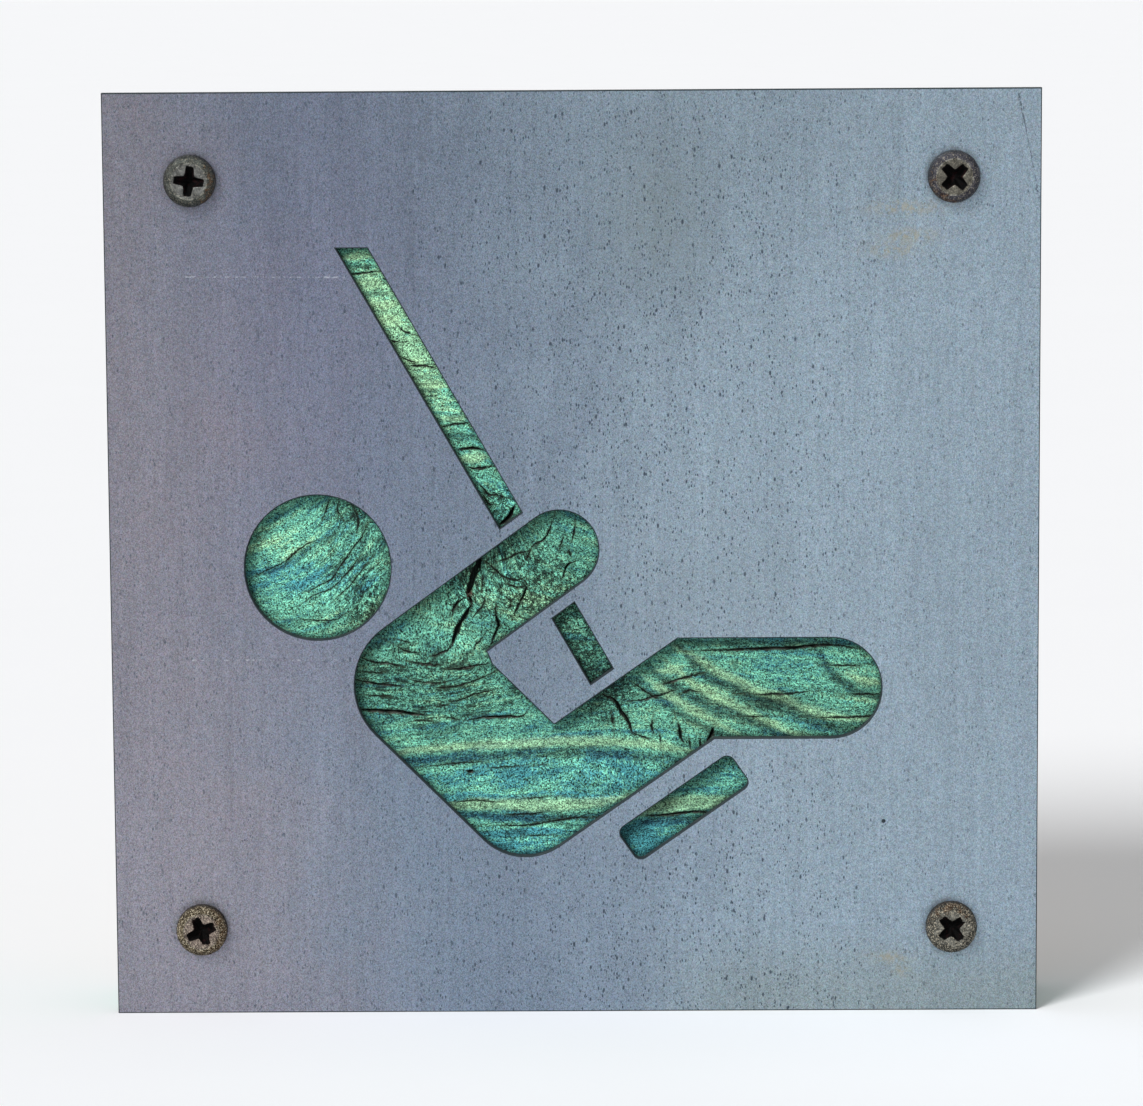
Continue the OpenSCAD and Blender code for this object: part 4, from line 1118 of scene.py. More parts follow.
def board_block(look, openings):
    """Board with rounded edges whose front face has small cells where the openings show it."""
    low, high = np.array(BOARD_LOW), np.array(BOARD_HIGH)
    round_r = look.edge_round
    lines = [stations(low[i], high[i], look.coarse_cell, round_r) for i in range(3)]
    parts = 2 ** CRACK_LEVEL
    fine_x, fine_z = (
        np.interp(np.arange((len(s) - 1) * parts + 1) / parts, np.arange(len(s)), s) for s in lines[::2]
    )

    # Cells of the finest level that a crack crosses, and the next coarser ones that an opening shows
    near = np.zeros((len(fine_x) - 1, len(fine_z) - 1), bool)
    for half_width, corners in CRACKS:
        if half_width < 0.1:
            continue
        reach = 3 + round(half_width / 0.15)
        for x, z in flowing_line([on_board(*corner) for corner in corners], 0.3)[0] * MM:
            i, j = np.searchsorted(fine_x, x), np.searchsorted(fine_z, z)
            near[i - reach:i + reach, j - reach:j + reach] = True
    half = 2 ** (CRACK_LEVEL - FINE_LEVEL)
    mid_x, mid_z = np.meshgrid(fine_x[half // 2::half], fine_z[half // 2::half], indexing="ij")
    shown = np.zeros(mid_x.shape, bool)
    for loop in openings:
        shown |= inside(loop, mid_x, mid_z)
    shown = spread(shown)

    # Which cells of each level are split, so that neighbours differ by one level at most
    cut = parents(near) & shown
    splits = [cut]
    need = parents(shown | spread(cut))
    for level in range(FINE_LEVEL):
        splits.insert(0, need)
        need = parents(spread(need)) if level < FINE_LEVEL - 1 else None

    # Cells of the front face, with the corners of smaller neighbours taken into their outlines
    used = np.zeros((len(fine_x), len(fine_z)), bool)
    leaves = []
    exists = np.ones(splits[0].shape, bool)
    for level in range(CRACK_LEVEL + 1):
        size = 2 ** (CRACK_LEVEL - level)
        here = exists & ~splits[level] if level < CRACK_LEVEL else exists
        i, j = np.nonzero(here)
        leaves.append((i * size, j * size, size))
        for di, dj in ((0, 0), (size, 0), (0, size), (size, size)):
            used[i * size + di, j * size + dj] = True
        if level < CRACK_LEVEL:
            exists = np.repeat(np.repeat(splits[level], 2, axis=0), 2, axis=1)
    ids = np.full(used.shape, -1)
    ids[used] = np.arange(used.sum())
    i, j = np.nonzero(used)
    points = [np.stack([fine_x[i], np.full(len(i), low[1]), fine_z[j]], axis=1)]
    faces = []
    for column, row, size in leaves:
        mid = size // 2
        steps = ((0, 0), (mid, 0), (size, 0), (size, mid), (size, size), (mid, size), (0, size), (0, mid))
        if size == 1:
            steps = ((0, 0), (1, 0), (1, 1), (0, 1))
        corners = np.stack([ids[column + di, row + dj] for di, dj in steps], axis=1)
        faces += [tuple(c for c in face if c >= 0) for face in corners.tolist()]

    # The other five sides in coarse cells, then all of it rounded at the edges
    count = len(points[0])
    sides = ((0, 1, 2, low[2]), (0, 1, 2, high[2]), (2, 1, 0, low[0]), (2, 1, 0, high[0]), (0, 2, 1, high[1]))
    for across, up, fixed, place in sides:
        a, b = np.meshgrid(lines[across], lines[up], indexing="ij")
        grid = np.zeros((a.size, 3))
        grid[:, across], grid[:, up], grid[:, fixed] = a.ravel(), b.ravel(), place
        points.append(grid)
        first = count + np.arange(a.size).reshape(a.shape)
        quads = np.stack([first[:-1, :-1], first[1:, :-1], first[1:, 1:], first[:-1, 1:]], axis=2)
        faces += [tuple(q) for q in quads.reshape(-1, 4).tolist()]
        count += a.size
    points = np.concatenate(points)
    core = np.clip(points, low + round_r, high - round_r)
    away = points - core
    points = core + away / np.linalg.norm(away, axis=1)[:, None] * round_r
    mesh = mesh_of("backing_board_block", points, faces)
    outward(mesh)
    return mesh


def slot_cutter(half_width, low, high, front, back):
    """Upright slot with round ends, as a closed body between two depths."""
    steps = 24
    turn = [math.pi * i / steps for i in range(steps + 1)]
    outline = [(half_width * math.cos(a), high - half_width + half_width * math.sin(a)) for a in turn]
    outline += [(-half_width * math.cos(a), low + half_width - half_width * math.sin(a)) for a in turn]
    count = len(outline)
    points = [(x, y, z) for y in (front, back) for x, z in outline]
    faces = [tuple(range(count)), tuple(range(2 * count - 1, count - 1, -1))]
    faces += [(i, (i + 1) % count, count + (i + 1) % count, count + i) for i in range(count)]
    mesh = mesh_of("cutter", points, faces)
    outward(mesh)
    return mesh


def board_tree():
    """Weathered board: flowing grain, raised late wood, and cracks carved along marked lines."""
    w, take, give = start_tree(
        "Weathered board",
        "GeometryNodeTree",
        {
            "Geometry": "Geometry",
            "Cracks": "Object",
            "Pale bands": "Object",
            "Dark bands": "Object",
            "Openings": "Object",
            "Ring spacing": 3.0,
            "Relief": 0.0002,
            "Crack depth": 0.001,
            "Seed": 1.0,
            "Material": "Material",
        },
        {"Geometry": "Geometry"},
    )
    position = w.node("GeometryNodeInputPosition")
    place = position * (1 / MM)
    x, y, z = w.split(place)
    flat = w.join(x, 0.0, z)

    def humps(rows):
        return w.spots(flat, 0.0, 1.0, rows)

    knot_lift = (z - KNOT[1]) * (w.spot(flat, (KNOT[0], 0.0, KNOT[1]), (6.0, 1.0, 5.0)) * 0.7)
    wander = w.linear(w.noise(place, (0.02, 0.03, 0.05), 2.0, 0.5, 13.0), 9.0, -4.5)
    into = y - BOARD_LOW.y / MM
    level = z - (humps(GRAIN_HUMPS) + knot_lift + wander) + into * w.linear(into, 0.022, 0.45)
    grain = w.join(x, y, level)
    ring = growth_rings(w, x, level, take["Ring spacing"], 4.0)
    fibre = w.noise(grain, (0.2, 0.5, 2.4), 3.0, 0.6, 14.0)

    def lines_of(source):
        return w.outputs("GeometryNodeObjectInfo", {"Object": take[source]})["Geometry"]

    def mark(source, wobble):
        """Way across the nearest marked line, and its half width, in millimetres."""
        sway = w.colour_noise(place, 0.7, 3.0, 0.6, 3.0)
        sample_at = w.vector("MULTIPLY_ADD", sway, (wobble * MM, 0.0, wobble * MM), position)
        note = w.node("GeometryNodeInputNamedAttribute", {"Name": "mark"}, data_type="FLOAT_VECTOR")
        sockets = {"Mesh": lines_of(source), "Value": note, "Sample Position": sample_at}
        nearest = w.node("GeometryNodeSampleNearestSurface", sockets, data_type="FLOAT_VECTOR")
        return nearest * (1.25, 1.0, 1.0)

    def band(source):
        """How deep inside the nearest marked band a point lies, from 0 to 1."""
        off, half_width = w.split(mark(source, 0.7))[:2]
        uneven = w.ramp(w.noise(grain, (0.3, 0.4, 1.2), 3.0, 0.6, 15.0), 0.3, 0.7, -0.3, 0.3, smooth=False)
        return w.ramp(abs(off) + uneven - half_width, 0.5, -0.4)

    crack = mark("Cracks", 0.4)
    off_crack, crack_width = w.split(crack)[:2]
    opened = w.ramp(abs(off_crack) / w.most(crack_width, 0.05), 1.25, 0.2) * w.ramp(crack_width, 0.1, 0.24)
    pale = band("Pale bands")
    deep = band("Dark bands")

    # Shade at the openings: under their upper edges, and a thin line all round
    openings = lines_of("Openings")

    def to_opening(at):
        sockets = {"Geometry": openings, "Sample Position": at}
        return w.outputs("GeometryNodeProximity", sockets, target_element="EDGES")["Distance"]

    to_edge = to_opening(position)
    to_upper_edge = to_opening(position + (-0.16 * MM, 0.0, 0.2 * MM))
    below = w.ramp(to_edge - to_upper_edge, -0.1 * MM, 0.22 * MM)
    under_edge = w.ramp(to_edge, 0.3 * MM, 2.8 * MM, 0.6, 0.0, smooth=False) * below
    at_edge = w.ramp(to_edge, 0.0, 0.75 * MM, 0.9, 0.0) * w.linear(below, 0.25, 0.8)
    shelter = w.most(at_edge, under_edge * w.ramp(z, 80.0, 90.0, 1.0, 0.15))

    # Worn relief everywhere but in the cuts for the hanger
    front = w.ramp(y, BOARD_LOW.y / MM + 0.8, BOARD_LOW.y / MM + 0.1)
    half_wide = HANGER_HIGH.x / MM + 1.2
    half_high = (HANGER_HIGH.z - HANGER_MIDDLE) / MM + 1.2
    off_middle = abs(z - HANGER_MIDDLE / MM)
    in_cut = w.math("LESS_THAN", abs(x), half_wide) * w.math("LESS_THAN", off_middle, half_high)
    weathered = 1.0 - in_cut * w.ramp(y, 0.0, 1.0)
    hollow = w.linear(deep - pale, front * 0.9, fibre * 0.6 - ring * 0.4 + 0.4)
    depth = (w.most(hollow, 0.0) * take["Relief"] + opened * front * take["Crack depth"]) * weathered
    sunk = w.node("GeometryNodeInputNormal") * (depth * -1.0)

    front_crack = crack + w.join(0.0, (1.0 - front) * -3.0, 0.0)
    body = take["Geometry"]
    stored = {
        "grain": grain,
        "crack": front_crack,
        "pale": pale * front,
        "deep": deep * front,
        "shelter": shelter * front,
        "gnarl": w.least(humps(KNOTTY_PARTS), 1.0),
        "tone": humps(TONES) * front,
        "hue": humps(HUES) * front,
        "checks": w.least(humps(CHECKED_PARTS), 1.0),
    }
    for name, value in stored.items():
        body = w.store(body, name, value)
    body = w.shape("SetPosition", body, {"Offset": sunk})
    w.finish(body, take["Material"], give["Geometry"])
    return w.tree


def screw_tree():
    """Screw turned from a profile, with a cross recess, a helical ridge and a weathered head."""
    w, take, give = start_tree(
        SCREW_TREE,
        "GeometryNodeTree",
        {
            "Geometry": "Geometry",
            "Profile": "Object",
            "Columns": 192,
            "Span": 0.0049,
            "Arm": 0.0014,
            "Pitch": 0.0014,
            "Ridge": 0.0006,
            "Turn": (0.0, 0.0, 0.0),
            "Lay": (0.0, 0.0, 0.0),
            "Place": (0.0, 0.0, 0.0),
            "Chew": 0.0,
            "Pits": 0.00004,
            "Seed": 0.0,
            "Material": "Material",
        },
        {"Geometry": "Geometry"},
    )
    profile = w.outputs("GeometryNodeObjectInfo", {"Object": take["Profile"]})["Geometry"]
    rows = w.outputs("GeometryNodeAttributeDomainSize", {0: profile}, component="MESH")["Point Count"]
    sizes = {"Size X": 1.0, "Size Y": 1.0, "Vertices X": take["Columns"] + 1.0, "Vertices Y": rows}
    body = w.outputs("GeometryNodeMeshGrid", sizes)["Mesh"]
    across, up = w.split(w.node("GeometryNodeInputPosition"))[:2]
    angle = (across + 0.5) * (2 * math.pi)
    row = w.math("ROUND", (up + 0.5) * (rows - 1.0))

    def of_row(value):
        """A value of the profile at this point's row."""
        sockets = {"Geometry": profile, "Value": value, "Index": row}
        kind = "FLOAT_VECTOR" if is_wide(value) else "FLOAT"
        return w.node("GeometryNodeSampleIndex", sockets, data_type=kind, domain="POINT")

    def named(name):
        return w.node("GeometryNodeInputNamedAttribute", {"Name": name}, data_type="FLOAT")

    # The profile's rows turned about the axis, with the recess and the thread
    radius, height = w.split(of_row(w.node("GeometryNodeInputPosition")))[::2]
    in_recess, in_thread, weather, rim, recess = (of_row(named(name)) for name in ROW_SHARES)
    off_arm = abs(w.math("WRAP", angle, math.pi / 4, -math.pi / 4))
    side = take["Arm"] * 0.5 / w.most(w.math("SINE", off_arm), 0.02)
    half_span = take["Span"] * 0.5
    arm = w.math("SMOOTH_MIN", side, half_span / w.math("COSINE", off_arm), 0.0016)
    outline = w.math("SMOOTH_MAX", arm, half_span * 0.45, 0.001)
    ring_spot = w.join(w.math("COSINE", angle), w.math("SINE", angle), take["Seed"])
    bite = w.noise(ring_spot, 2.2, 3.0, 0.7, take["Seed"]) - 0.52
    outline *= w.linear(bite, take["Chew"], 1.0)
    radius *= w.linear(outline / half_span - 1.0, in_recess, 1.0)
    climb = w.math("FRACT", height / take["Pitch"] + angle / (2 * math.pi))
    crest = w.ramp(abs(climb - 0.5), 0.34, 0.04, smooth=False)
    radius += crest * in_thread * take["Ridge"]
    turned = w.join(radius * w.math("COSINE", angle), radius * w.math("SINE", angle), height)

    # Pits and grains only take metal away, towards a point under the head
    spot = turned * (1 / MM)
    coarse = w.noise(spot, 1.1, 3.0, 0.6, take["Seed"])
    fine = w.noise(spot, 3.2, 2.0, 0.6, take["Seed"] + 2.0)
    bite_depth = (w.ramp(coarse, 0.35, 0.7, 0.0, 0.8) + w.ramp(fine, 0.35, 0.65)) * take["Pits"] * weather
    worn = turned - w.vector("NORMALIZE", turned + (0.0, 0.0, 0.001)) * bite_depth

    body = w.store(w.store(body, "recess", recess), "rim", rim)
    body = w.shape("SetPosition", body, {"Position": worn})
    body = w.shape("MergeByDistance", body, {"Distance": 0.0005 * MM})
    for socket, value in (("Rotation", "Turn"), ("Rotation", "Lay"), ("Translation", "Place")):
        body = w.shape("Transform", body, {socket: take[value]})
    w.finish(body, take["Material"], give["Geometry"])
    return w.tree


def profile_object(name, rows):
    """Rows of a screw from its middle out and down: radius, height and shares, in millimetres."""
    mesh = bpy.data.meshes.new(name)
    mesh.from_pydata([(row[0] * MM, 0.0, row[1] * MM) for row in rows], [], [])
    for i, share in enumerate(ROW_SHARES):
        mesh.attributes.new(share, "FLOAT", "POINT").data.foreach_set("value", [row[2 + i] for row in rows])
    return new_object(name, mesh)


def recess_rows(half_span, top, depth):
    """Rows from the bottom of a cross recess up to its lip."""
    shares = (0.0, 0.14, 0.3, 0.48, 0.64, 0.78, 0.88, 0.95)
    depths = (1.0, 0.98, 0.9, 0.76, 0.6, 0.44, 0.26, 0.1)
    rows = [
        (half_span * share, top - depth * sunk, 1, 0, 0.3, 0, min(1.0, sunk * 2.2))
        for share, sunk in zip(shares, depths)
    ]
    rows.append((half_span, top - 0.04, 1, 0, 1, 0, 0.08))
    rows.append((half_span * 1.04, top, 1, 0, 1, 0, 0))
    return rows


def shank_rows(root_r, top, length, tip, pitch):
    """Rows of a threaded shank from its neck to its point."""
    rows = [(root_r, top, 0, 0, 0, 0, 0)]
    step = pitch / 6
    for i in range(1, int((length - 0.4) / step)):
        below = i * step
        taper = min(1.0, (length - below) / tip + 0.1)
        rows.append((root_r * taper, top - below, 0, taper if below > 1.0 else 0, 0, 0, 0))
    rows.append((0.0, top - length, 0, 0, 0, 0, 0))
    return rows


def pan_head_rows():
    """Pan head: flat top around the recess, rounded shoulder, upright side and threaded shank."""
    radius, top, shoulder, half_span = PAN_RADIUS, 2.6, 1.3, 2.45
    rows = recess_rows(half_span, top, 1.9)
    flat = radius - shoulder
    for share in (0.25, 0.5, 0.75, 1.0):
        start = half_span * 1.04
        rows.append((start + (flat - start) * share, top, 1 - share, 0, 1, 0, 0))
    for step in range(1, 13):
        a = math.radians(90 - 7.5 * step)
        rim = max(0.0, step / 12 - 0.55) * 1.6
        rows.append((flat + shoulder * math.cos(a), top - shoulder + shoulder * math.sin(a), 0, 0, 1, rim, 0))
    rows += [
        (radius, 0.9, 0, 0, 1, 0.8, 0),
        (radius, 0.5, 0, 0, 0.8, 0.9, 0),
        (radius - 0.03, 0.12, 0, 0, 0.3, 1, 0),
        (radius - 0.15, 0.0, 0, 0, 0, 1, 0),
        (3.0, 0.0, 0, 0, 0, 1, 0),
    ]
    return rows + shank_rows(1.45, 0.0, 16.0, 3.0, 1.4)


def flat_head_rows():
    """Countersunk head as thick as the hanger, and its threaded shank."""
    radius, half_span = 2.8, 1.5
    rows = recess_rows(half_span, 0.0, 1.2)
    for share in (0.3, 0.65, 1.0):
        start = half_span * 1.04
        rows.append((start + (radius - 0.1 - start) * share, 0.0, 1 - share, 0, 0.6, share * 0.4, 0))
    rows += [(radius - 0.02, -0.04, 0, 0, 0, 0.8, 0), (radius - 0.08, -0.12, 0, 0, 0, 0.6, 0)]
    rows += [(1.9, -0.9, 0, 0, 0, 0, 0), (1.3, -1.5, 0, 0, 0, 0, 0)]
    return rows + shank_rows(1.0, -1.5, 10.5, 3.0, 1.3)


def add_screw(node, tree, profile, material, slot, **values):
    """Makes one screw in place of its node."""
    piece = new_object(node + "_finished", bpy.data.meshes.new(node + "_start"))
    add_nodes(piece, tree, profile=profile, material=material, **values)
    mesh = baked_mesh(piece, piece.name)
    outward(mesh, smooth_angle=55)
    finish_piece(piece, node)


def length_setting(name, description, millimetres, low=0.0):
    """Length that can be set in the panel, with its default and its lowest value in millimetres."""
    return bpy.props.FloatProperty(
        name=name, description=description, default=millimetres * MM, min=low * MM,
        precision=6, unit="LENGTH", subtype="DISTANCE",
    )


def colour_setting(name, description, *screen_colour):
    """Colour that can be set in the panel, with its default as a screen colour."""
    return bpy.props.FloatVectorProperty(
        name=name, description=description, default=paint(*screen_colour), subtype="COLOR", min=0.0, max=1.0,
    )


def number_setting(name, description, default, low=0.0):
    return bpy.props.FloatProperty(name=name, description=description, default=default, min=low)


def place_setting(name, description, place):
    return bpy.props.FloatVectorProperty(
        name=name, description=description, default=place, subtype="TRANSLATION", unit="LENGTH",
    )


class SteelLook(bpy.types.PropertyGroup):
    """Sizes and colours of the steel plate"""

    edge_ease: length_setting("Edge rounding", "Radius of the plate's rounded cut edges", 0.12)
    edge_border: length_setting("Edge border", "Width of the border inside each edge", 0.22)
    # The three steel colours hold painted reflection as well as the steel's own tone
    left_steel: colour_setting("Left steel", "Colour of the steel at the left", 126, 125, 135)
    middle_steel: colour_setting("Middle steel", "Colour of the steel left of the middle", 113, 126, 142)
    right_steel: colour_setting("Right steel", "Colour of the steel at the right", 141, 158, 171)
    fleck: colour_setting("Fleck", "Colour of the dark flecks of scale", 66, 78, 90)
    cut_edge: colour_setting("Cut edge", "Colour of the oxide on the cut edges", 34, 43, 46)


class BoardLook(bpy.types.PropertyGroup):
    """Sizes and colours of the wooden board"""

    coarse_cell: length_setting("Coarse cell", "Size of the mesh cells away from the openings", 2.4, 0.5)
    edge_round: length_setting("Edge rounding", "Radius of the board's worn edges", 0.9, 0.1)
    ring_spacing: number_setting("Ring spacing", "Distance between growth rings, in millimetres", 2.6, 0.5)
    relief: length_setting("Relief", "Depth to which the soft early wood has worn", 0.22)
    crack_depth: length_setting("Crack depth", "Depth of the drying cracks", 0.9)
    green_stain: colour_setting("Green stain", "Main colour of the stained wood", 92, 160, 132)
    blue_stain: colour_setting("Blue stain", "Colour of the stain on the hard late wood", 58, 124, 126)
    yellow_stain: colour_setting("Yellow stain", "Colour of the stain on the softest wood", 120, 168, 128)
    pale_stain: colour_setting("Pale stain", "Colour of the bands where the stain stayed thin", 142, 184, 136)
    deep_stain: colour_setting("Deep stain", "Colour of the bands where the stain gathered", 30, 70, 84)
    softwood_early: colour_setting("Bare early wood", "Colour of the early wood on the back", 218, 190, 146)
    softwood_late: colour_setting("Bare late wood", "Colour of the late wood on the back", 186, 140, 90)


class ScrewLook(bpy.types.PropertyGroup):
    """Sizes and colours that the four plate screws share"""

    recess_span: length_setting("Recess span", "Width across the cross recess", 4.9)
    recess_arm: length_setting("Recess arm", "Width of one arm of the cross recess", 1.4)
    thread_pitch: length_setting("Thread pitch", "Distance between two turns of the thread", 1.4, 0.1)
    bright_grain: colour_setting("Bright grain", "Colour of the bright grains in the crust", 196, 186, 164)
    recess_rust: colour_setting("Recess rust", "Colour of the rust deep in the cross recess", 30, 12, 14)


class StageLook(bpy.types.PropertyGroup):
    """Camera, light and floor"""

    lens: number_setting("Lens", "Focal length of the camera, in millimetres", 156.7, 20.0)
    camera_place: place_setting("Camera", "Place of the camera", (0.0080, -0.8051, 0.1855))
    camera_aim: place_setting("Aim", "Point that the camera looks at", (-0.0004, -0.0100, 0.0756))
    camera_roll: bpy.props.FloatProperty(
        name="Roll", description="Turn of the camera about its line of sight",
        default=math.radians(-0.38), subtype="ANGLE",
    )
    sun_strength: number_setting("Key light", "Strength of the soft key light", 2.7)
    sky_strength: number_setting("Fill light", "Strength of the light from all round", 0.3)
    top_strength: number_setting("Top light", "Strength of the light from straight above", 0.44)
    floor_colour: colour_setting("Floor", "Colour of the floor", 249, 250, 252)


class SIGN_OT_add_stage(bpy.types.Operator):
    """Add the floor, the light and the camera"""

    bl_idname = "sign.add_stage"
    bl_label = "Add stage"

    def execute(self, context):
        look = context.scene.sign_stage
        reach = 12.0
        corners = [(-reach, -reach, 0), (reach, -reach, 0), (reach, reach, 0), (-reach, reach, 0)]
        mesh = mesh_of("floor", corners, [(0, 1, 2, 3)])
        mesh.materials.append(floor_paper(look))
        new_object("floor", mesh)

        lamps = (
            ("key_light", look.sun_strength, 22, (0.46, 0.66, -0.62)),
            ("top_light", look.top_strength, 40, (0.0, 0.02, -1.0)),
        )
        for name, strength, spread_angle, towards in lamps:
            lamp = new_object(name, bpy.data.lights.new(name, "SUN"))
            lamp.data.energy = strength
            lamp.data.angle = math.radians(spread_angle)
            aim_at(lamp, Vector(towards))

        world = bpy.data.worlds.new("studio")
        context.scene.world = world
        world.use_nodes = True
        w = Wiring(world.node_tree)
        rays = w.outputs("ShaderNodeLightPath")
        seen = w.most(rays["Is Camera Ray"], rays["Is Glossy Ray"], rays["Is Transmission Ray"])
        background = world.node_tree.nodes["Background"]
        w.feed(background.inputs["Color"], (1.0, 1.0, 1.0))
        w.feed(background.inputs["Strength"], w.blend(seen, look.sky_strength, 1.0, "FLOAT"))

        camera = new_object("camera", bpy.data.cameras.new("camera"))
        camera.data.lens = look.lens
        camera.data.sensor_width = 36.0
        camera.data.clip_start = 0.05
        camera.data.clip_end = 60.0
        camera.location = look.camera_place
        aim_at(camera, Vector(look.camera_aim) - Vector(look.camera_place), look.camera_roll)
        context.scene.camera = camera
        context.scene.view_settings.view_transform = "Standard"
        return {"FINISHED"}


class SIGN_OT_add_face_plate(bpy.types.Operator):
    """Add the steel plate with the figure cut through it"""

    bl_idname = "sign.add_face_plate"
    bl_label = "Add face plate"

    def execute(self, context):
        look = context.scene.sign_steel
        loops = outline_loops("face_plate", PLATE_LOW.y)
        name = "face_plate_finished"
        mesh = eased_slab(name, loops, PLATE_LOW.y, PLATE_HIGH.y, look.edge_ease, look.edge_border)
        mesh.materials.append(plate_steel(look))
        finish_piece(new_object(name, mesh), "face_plate")
        return {"FINISHED"}


class SIGN_OT_add_backing_board(bpy.types.Operator):
    """Add the stained board with its grain, its cracks and the cuts for the hanger"""

    bl_idname = "sign.add_backing_board"
    bl_label = "Add backing board"

    def execute(self, context):
        look = context.scene.sign_board
        openings = [p for p in outline_loops("face_plate", PLATE_LOW.y)[1:] if np.ptp(p[:, 0]) > 5 * MM]
        piece = new_object("backing_board_finished", board_block(look, openings))
        gap, past_back = 0.25 * MM, BOARD_HIGH.y + MM
        cuts = (
            (HANGER_HIGH.x + gap, HANGER_LOW.z - gap, HANGER_HIGH.z + gap, HANGER_LOW.y),
            (POCKET_HALF, POCKET_LOW, POCKET_LOW + POCKET_HEIGHT, HANGER_LOW.y - POCKET_DEPTH),
        )
        for half, low, high, front in cuts:
            cutter = new_object("cutter", slot_cutter(half, low, high, front, past_back))
            cut = piece.modifiers.new("cut", "BOOLEAN")
            cut.operation = "DIFFERENCE"
            cut.solver = "EXACT"
            cut.object = cutter
            baked_mesh(piece, "backing_board_block")
            bpy.data.objects.remove(cutter)
        sources = {
            "cracks": ribbons_object("cracks", CRACKS, BOARD_LOW.y, 0.9),
            "pale_bands": ribbons_object("pale_bands", PALE_BANDS, BOARD_LOW.y, 2.4),
            "dark_bands": ribbons_object("dark_bands", DARK_BANDS, BOARD_LOW.y, 2.4),
            "openings": outlines_object("openings", openings, BOARD_LOW.y),
        }
        add_nodes(piece, board_tree(), ring_spacing=look.ring_spacing, relief=look.relief,
                  crack_depth=look.crack_depth, seed=3.0, material=stained_wood(look), **sources)
        mesh = baked_mesh(piece, "backing_board_finished")
        for source in sources.values():
            bpy.data.objects.remove(source)
        mesh.shade_smooth()
        mesh.set_sharp_from_angle(angle=math.radians(60))
        finish_piece(piece, "backing_board")
        return {"FINISHED"}


class SIGN_OT_add_plate_screws(bpy.types.Operator):
    """Add the four rusty pan head screws at the corners"""

    bl_idname = "sign.add_plate_screws"
    bl_label = "Add plate screws"

    def execute(self, context):
        look = context.scene.sign_screws
        tree = screw_tree()
        profile = profile_object("pan_head_profile", pan_head_rows())
        for node, (turn, width, chew, pits, *wear) in SCREW_WEAR.items():
            low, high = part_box(node)
            place = Vector(((low.x + high.x) / 2, PLATE_LOW.y, (low.z + high.z) / 2))
            material = rusty_steel("rusty_steel_" + node[6:], place, look, wear)
            add_screw(
                node, tree, profile, material, "rusty_steel",
                turn=(0.0, 0.0, math.radians(turn)), lay=(math.pi / 2, 0.0, 0.0), place=place,
                span=look.recess_span * width, arm=look.recess_arm, pitch=look.thread_pitch,
                chew=chew, pits=pits * MM, seed=wear[-1],
            )
        bpy.data.objects.remove(profile)
        return {"FINISHED"}


class SIGN_OT_add_hanger(bpy.types.Operator):
    """Add the keyhole hanger that is let into the back"""

    bl_idname = "sign.add_hanger"
    bl_label = "Add keyhole hanger"

    def execute(self, context):
        bm = merged_copy("keyhole_hanger")
        bmesh.ops.dissolve_limit(bm, angle_limit=math.radians(1), verts=bm.verts, edges=bm.edges)
        edge = bm.verts.layers.float.new("edge")
        sharp = [e for e in bm.edges if len(e.link_faces) == 2 and e.calc_face_angle() > math.radians(35)]
        made = bmesh.ops.bevel(
            bm, geom=sharp, offset=0.12 * MM, offset_type="OFFSET", segments=2, profile=0.5,
            affect="EDGES", clamp_overlap=True,
        )
        for vertex in made["verts"]:
            vertex[edge] = 1.0
        mesh = bpy.data.meshes.new("keyhole_hanger_finished")
        bm.to_mesh(mesh)
        bm.free()
        outward(mesh)
        mesh.materials.append(zinc_steel("zinc_steel", 0.5))
        finish_piece(new_object("keyhole_hanger_finished", mesh), "keyhole_hanger")
        return {"FINISHED"}


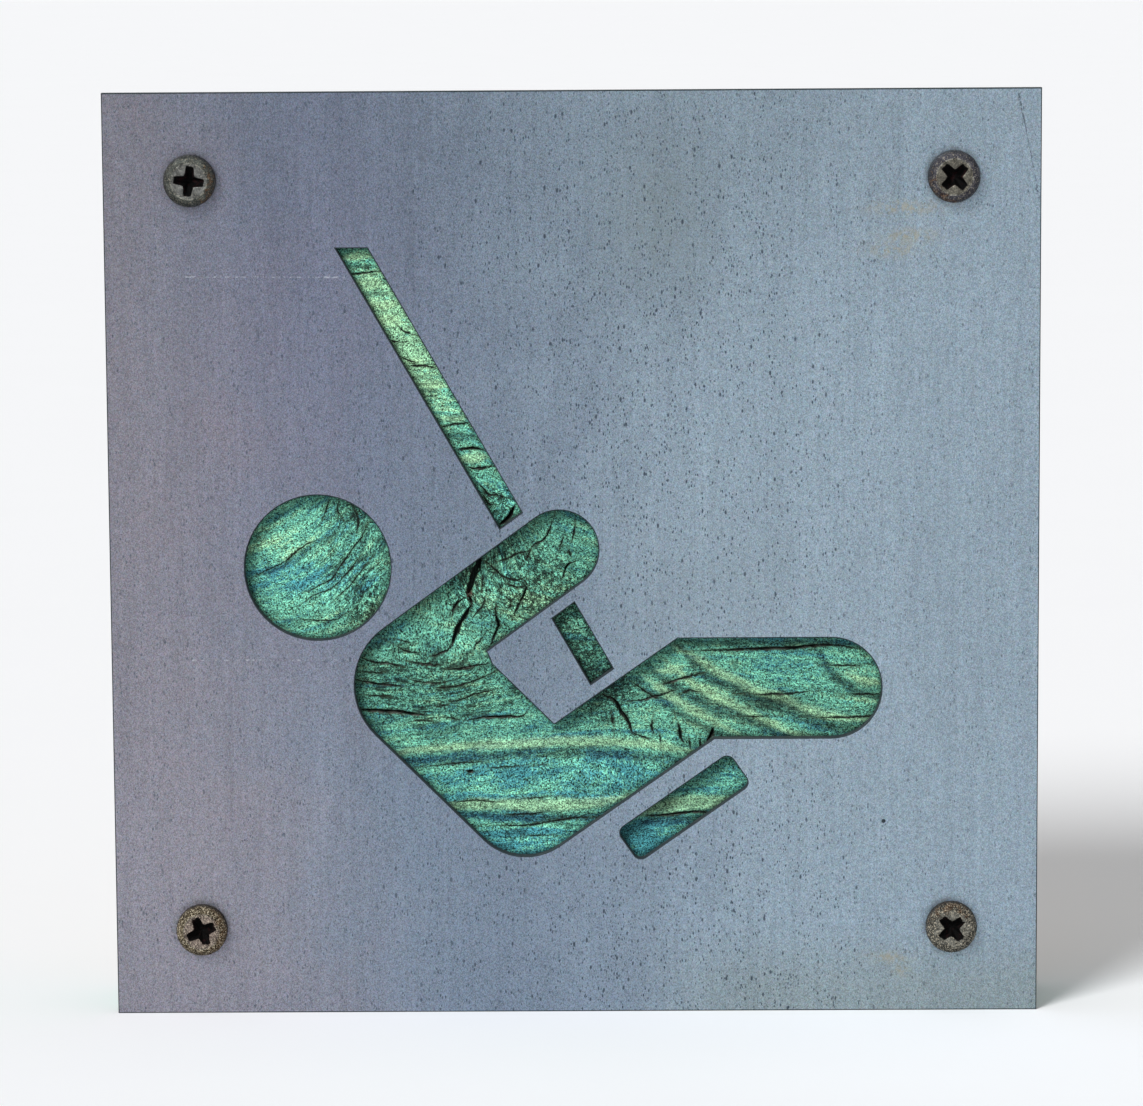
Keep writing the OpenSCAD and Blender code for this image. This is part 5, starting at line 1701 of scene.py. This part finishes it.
class SIGN_OT_add_hanger_screws(bpy.types.Operator):
    """Add the two countersunk screws that hold the hanger"""

    bl_idname = "sign.add_hanger_screws"
    bl_label = "Add hanger screws"

    def execute(self, context):
        tree = bpy.data.node_groups.get(SCREW_TREE) or screw_tree()
        profile = profile_object("flat_head_profile", flat_head_rows())
        material = zinc_steel("zinc_steel_screws", 1.6)
        for node, seed in (("hanger_screw_upper", 5.0), ("hanger_screw_lower", 6.0)):
            low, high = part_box(node)
            add_screw(
                node, tree, profile, material, "zinc_steel",
                columns=128, span=3.0 * MM, arm=0.84 * MM, pitch=1.3 * MM, ridge=0.5 * MM,
                turn=(0.0, 0.0, 0.0), lay=(-math.pi / 2, 0.0, 0.0),
                place=Vector((0.0, BOARD_HIGH.y, (low.z + high.z) / 2)),
                chew=0.05, pits=0.012 * MM, seed=seed,
            )
        bpy.data.objects.remove(profile)
        return {"FINISHED"}


class SIGN_PT_pieces(bpy.types.Panel):
    """Sizes, colours and pieces of the sign"""

    bl_idname = "SIGN_PT_pieces"
    bl_label = "Silhouette sign"
    bl_space_type = "VIEW_3D"
    bl_region_type = "UI"
    bl_category = "Sign"

    def draw(self, context):
        for scene_name, kind in GROUPS.items():
            box = self.layout.box()
            for name in kind.__annotations__:
                box.prop(getattr(context.scene, scene_name), name)
        for operator in OPERATORS:
            self.layout.operator(operator.bl_idname)


GROUPS = {"sign_steel": SteelLook, "sign_board": BoardLook, "sign_screws": ScrewLook, "sign_stage": StageLook}
OPERATORS = (
    SIGN_OT_add_stage,
    SIGN_OT_add_face_plate,
    SIGN_OT_add_backing_board,
    SIGN_OT_add_plate_screws,
    SIGN_OT_add_hanger,
    SIGN_OT_add_hanger_screws,
)


def register():
    for made in (*GROUPS.values(), *OPERATORS, SIGN_PT_pieces):
        bpy.utils.register_class(made)
    for name, group in GROUPS.items():
        setattr(bpy.types.Scene, name, bpy.props.PointerProperty(type=group))


def unregister():
    for name in GROUPS:
        delattr(bpy.types.Scene, name)
    for made in (SIGN_PT_pieces, *reversed(OPERATORS), *reversed(GROUPS.values())):
        bpy.utils.unregister_class(made)


def main():
    """Makes every piece in order."""
    register()
    bpy.ops.sign.add_stage()
    bpy.ops.sign.add_face_plate()
    bpy.ops.sign.add_backing_board()
    bpy.ops.sign.add_plate_screws()
    bpy.ops.sign.add_hanger()
    bpy.ops.sign.add_hanger_screws()


if __name__ == "__main__":
    main()
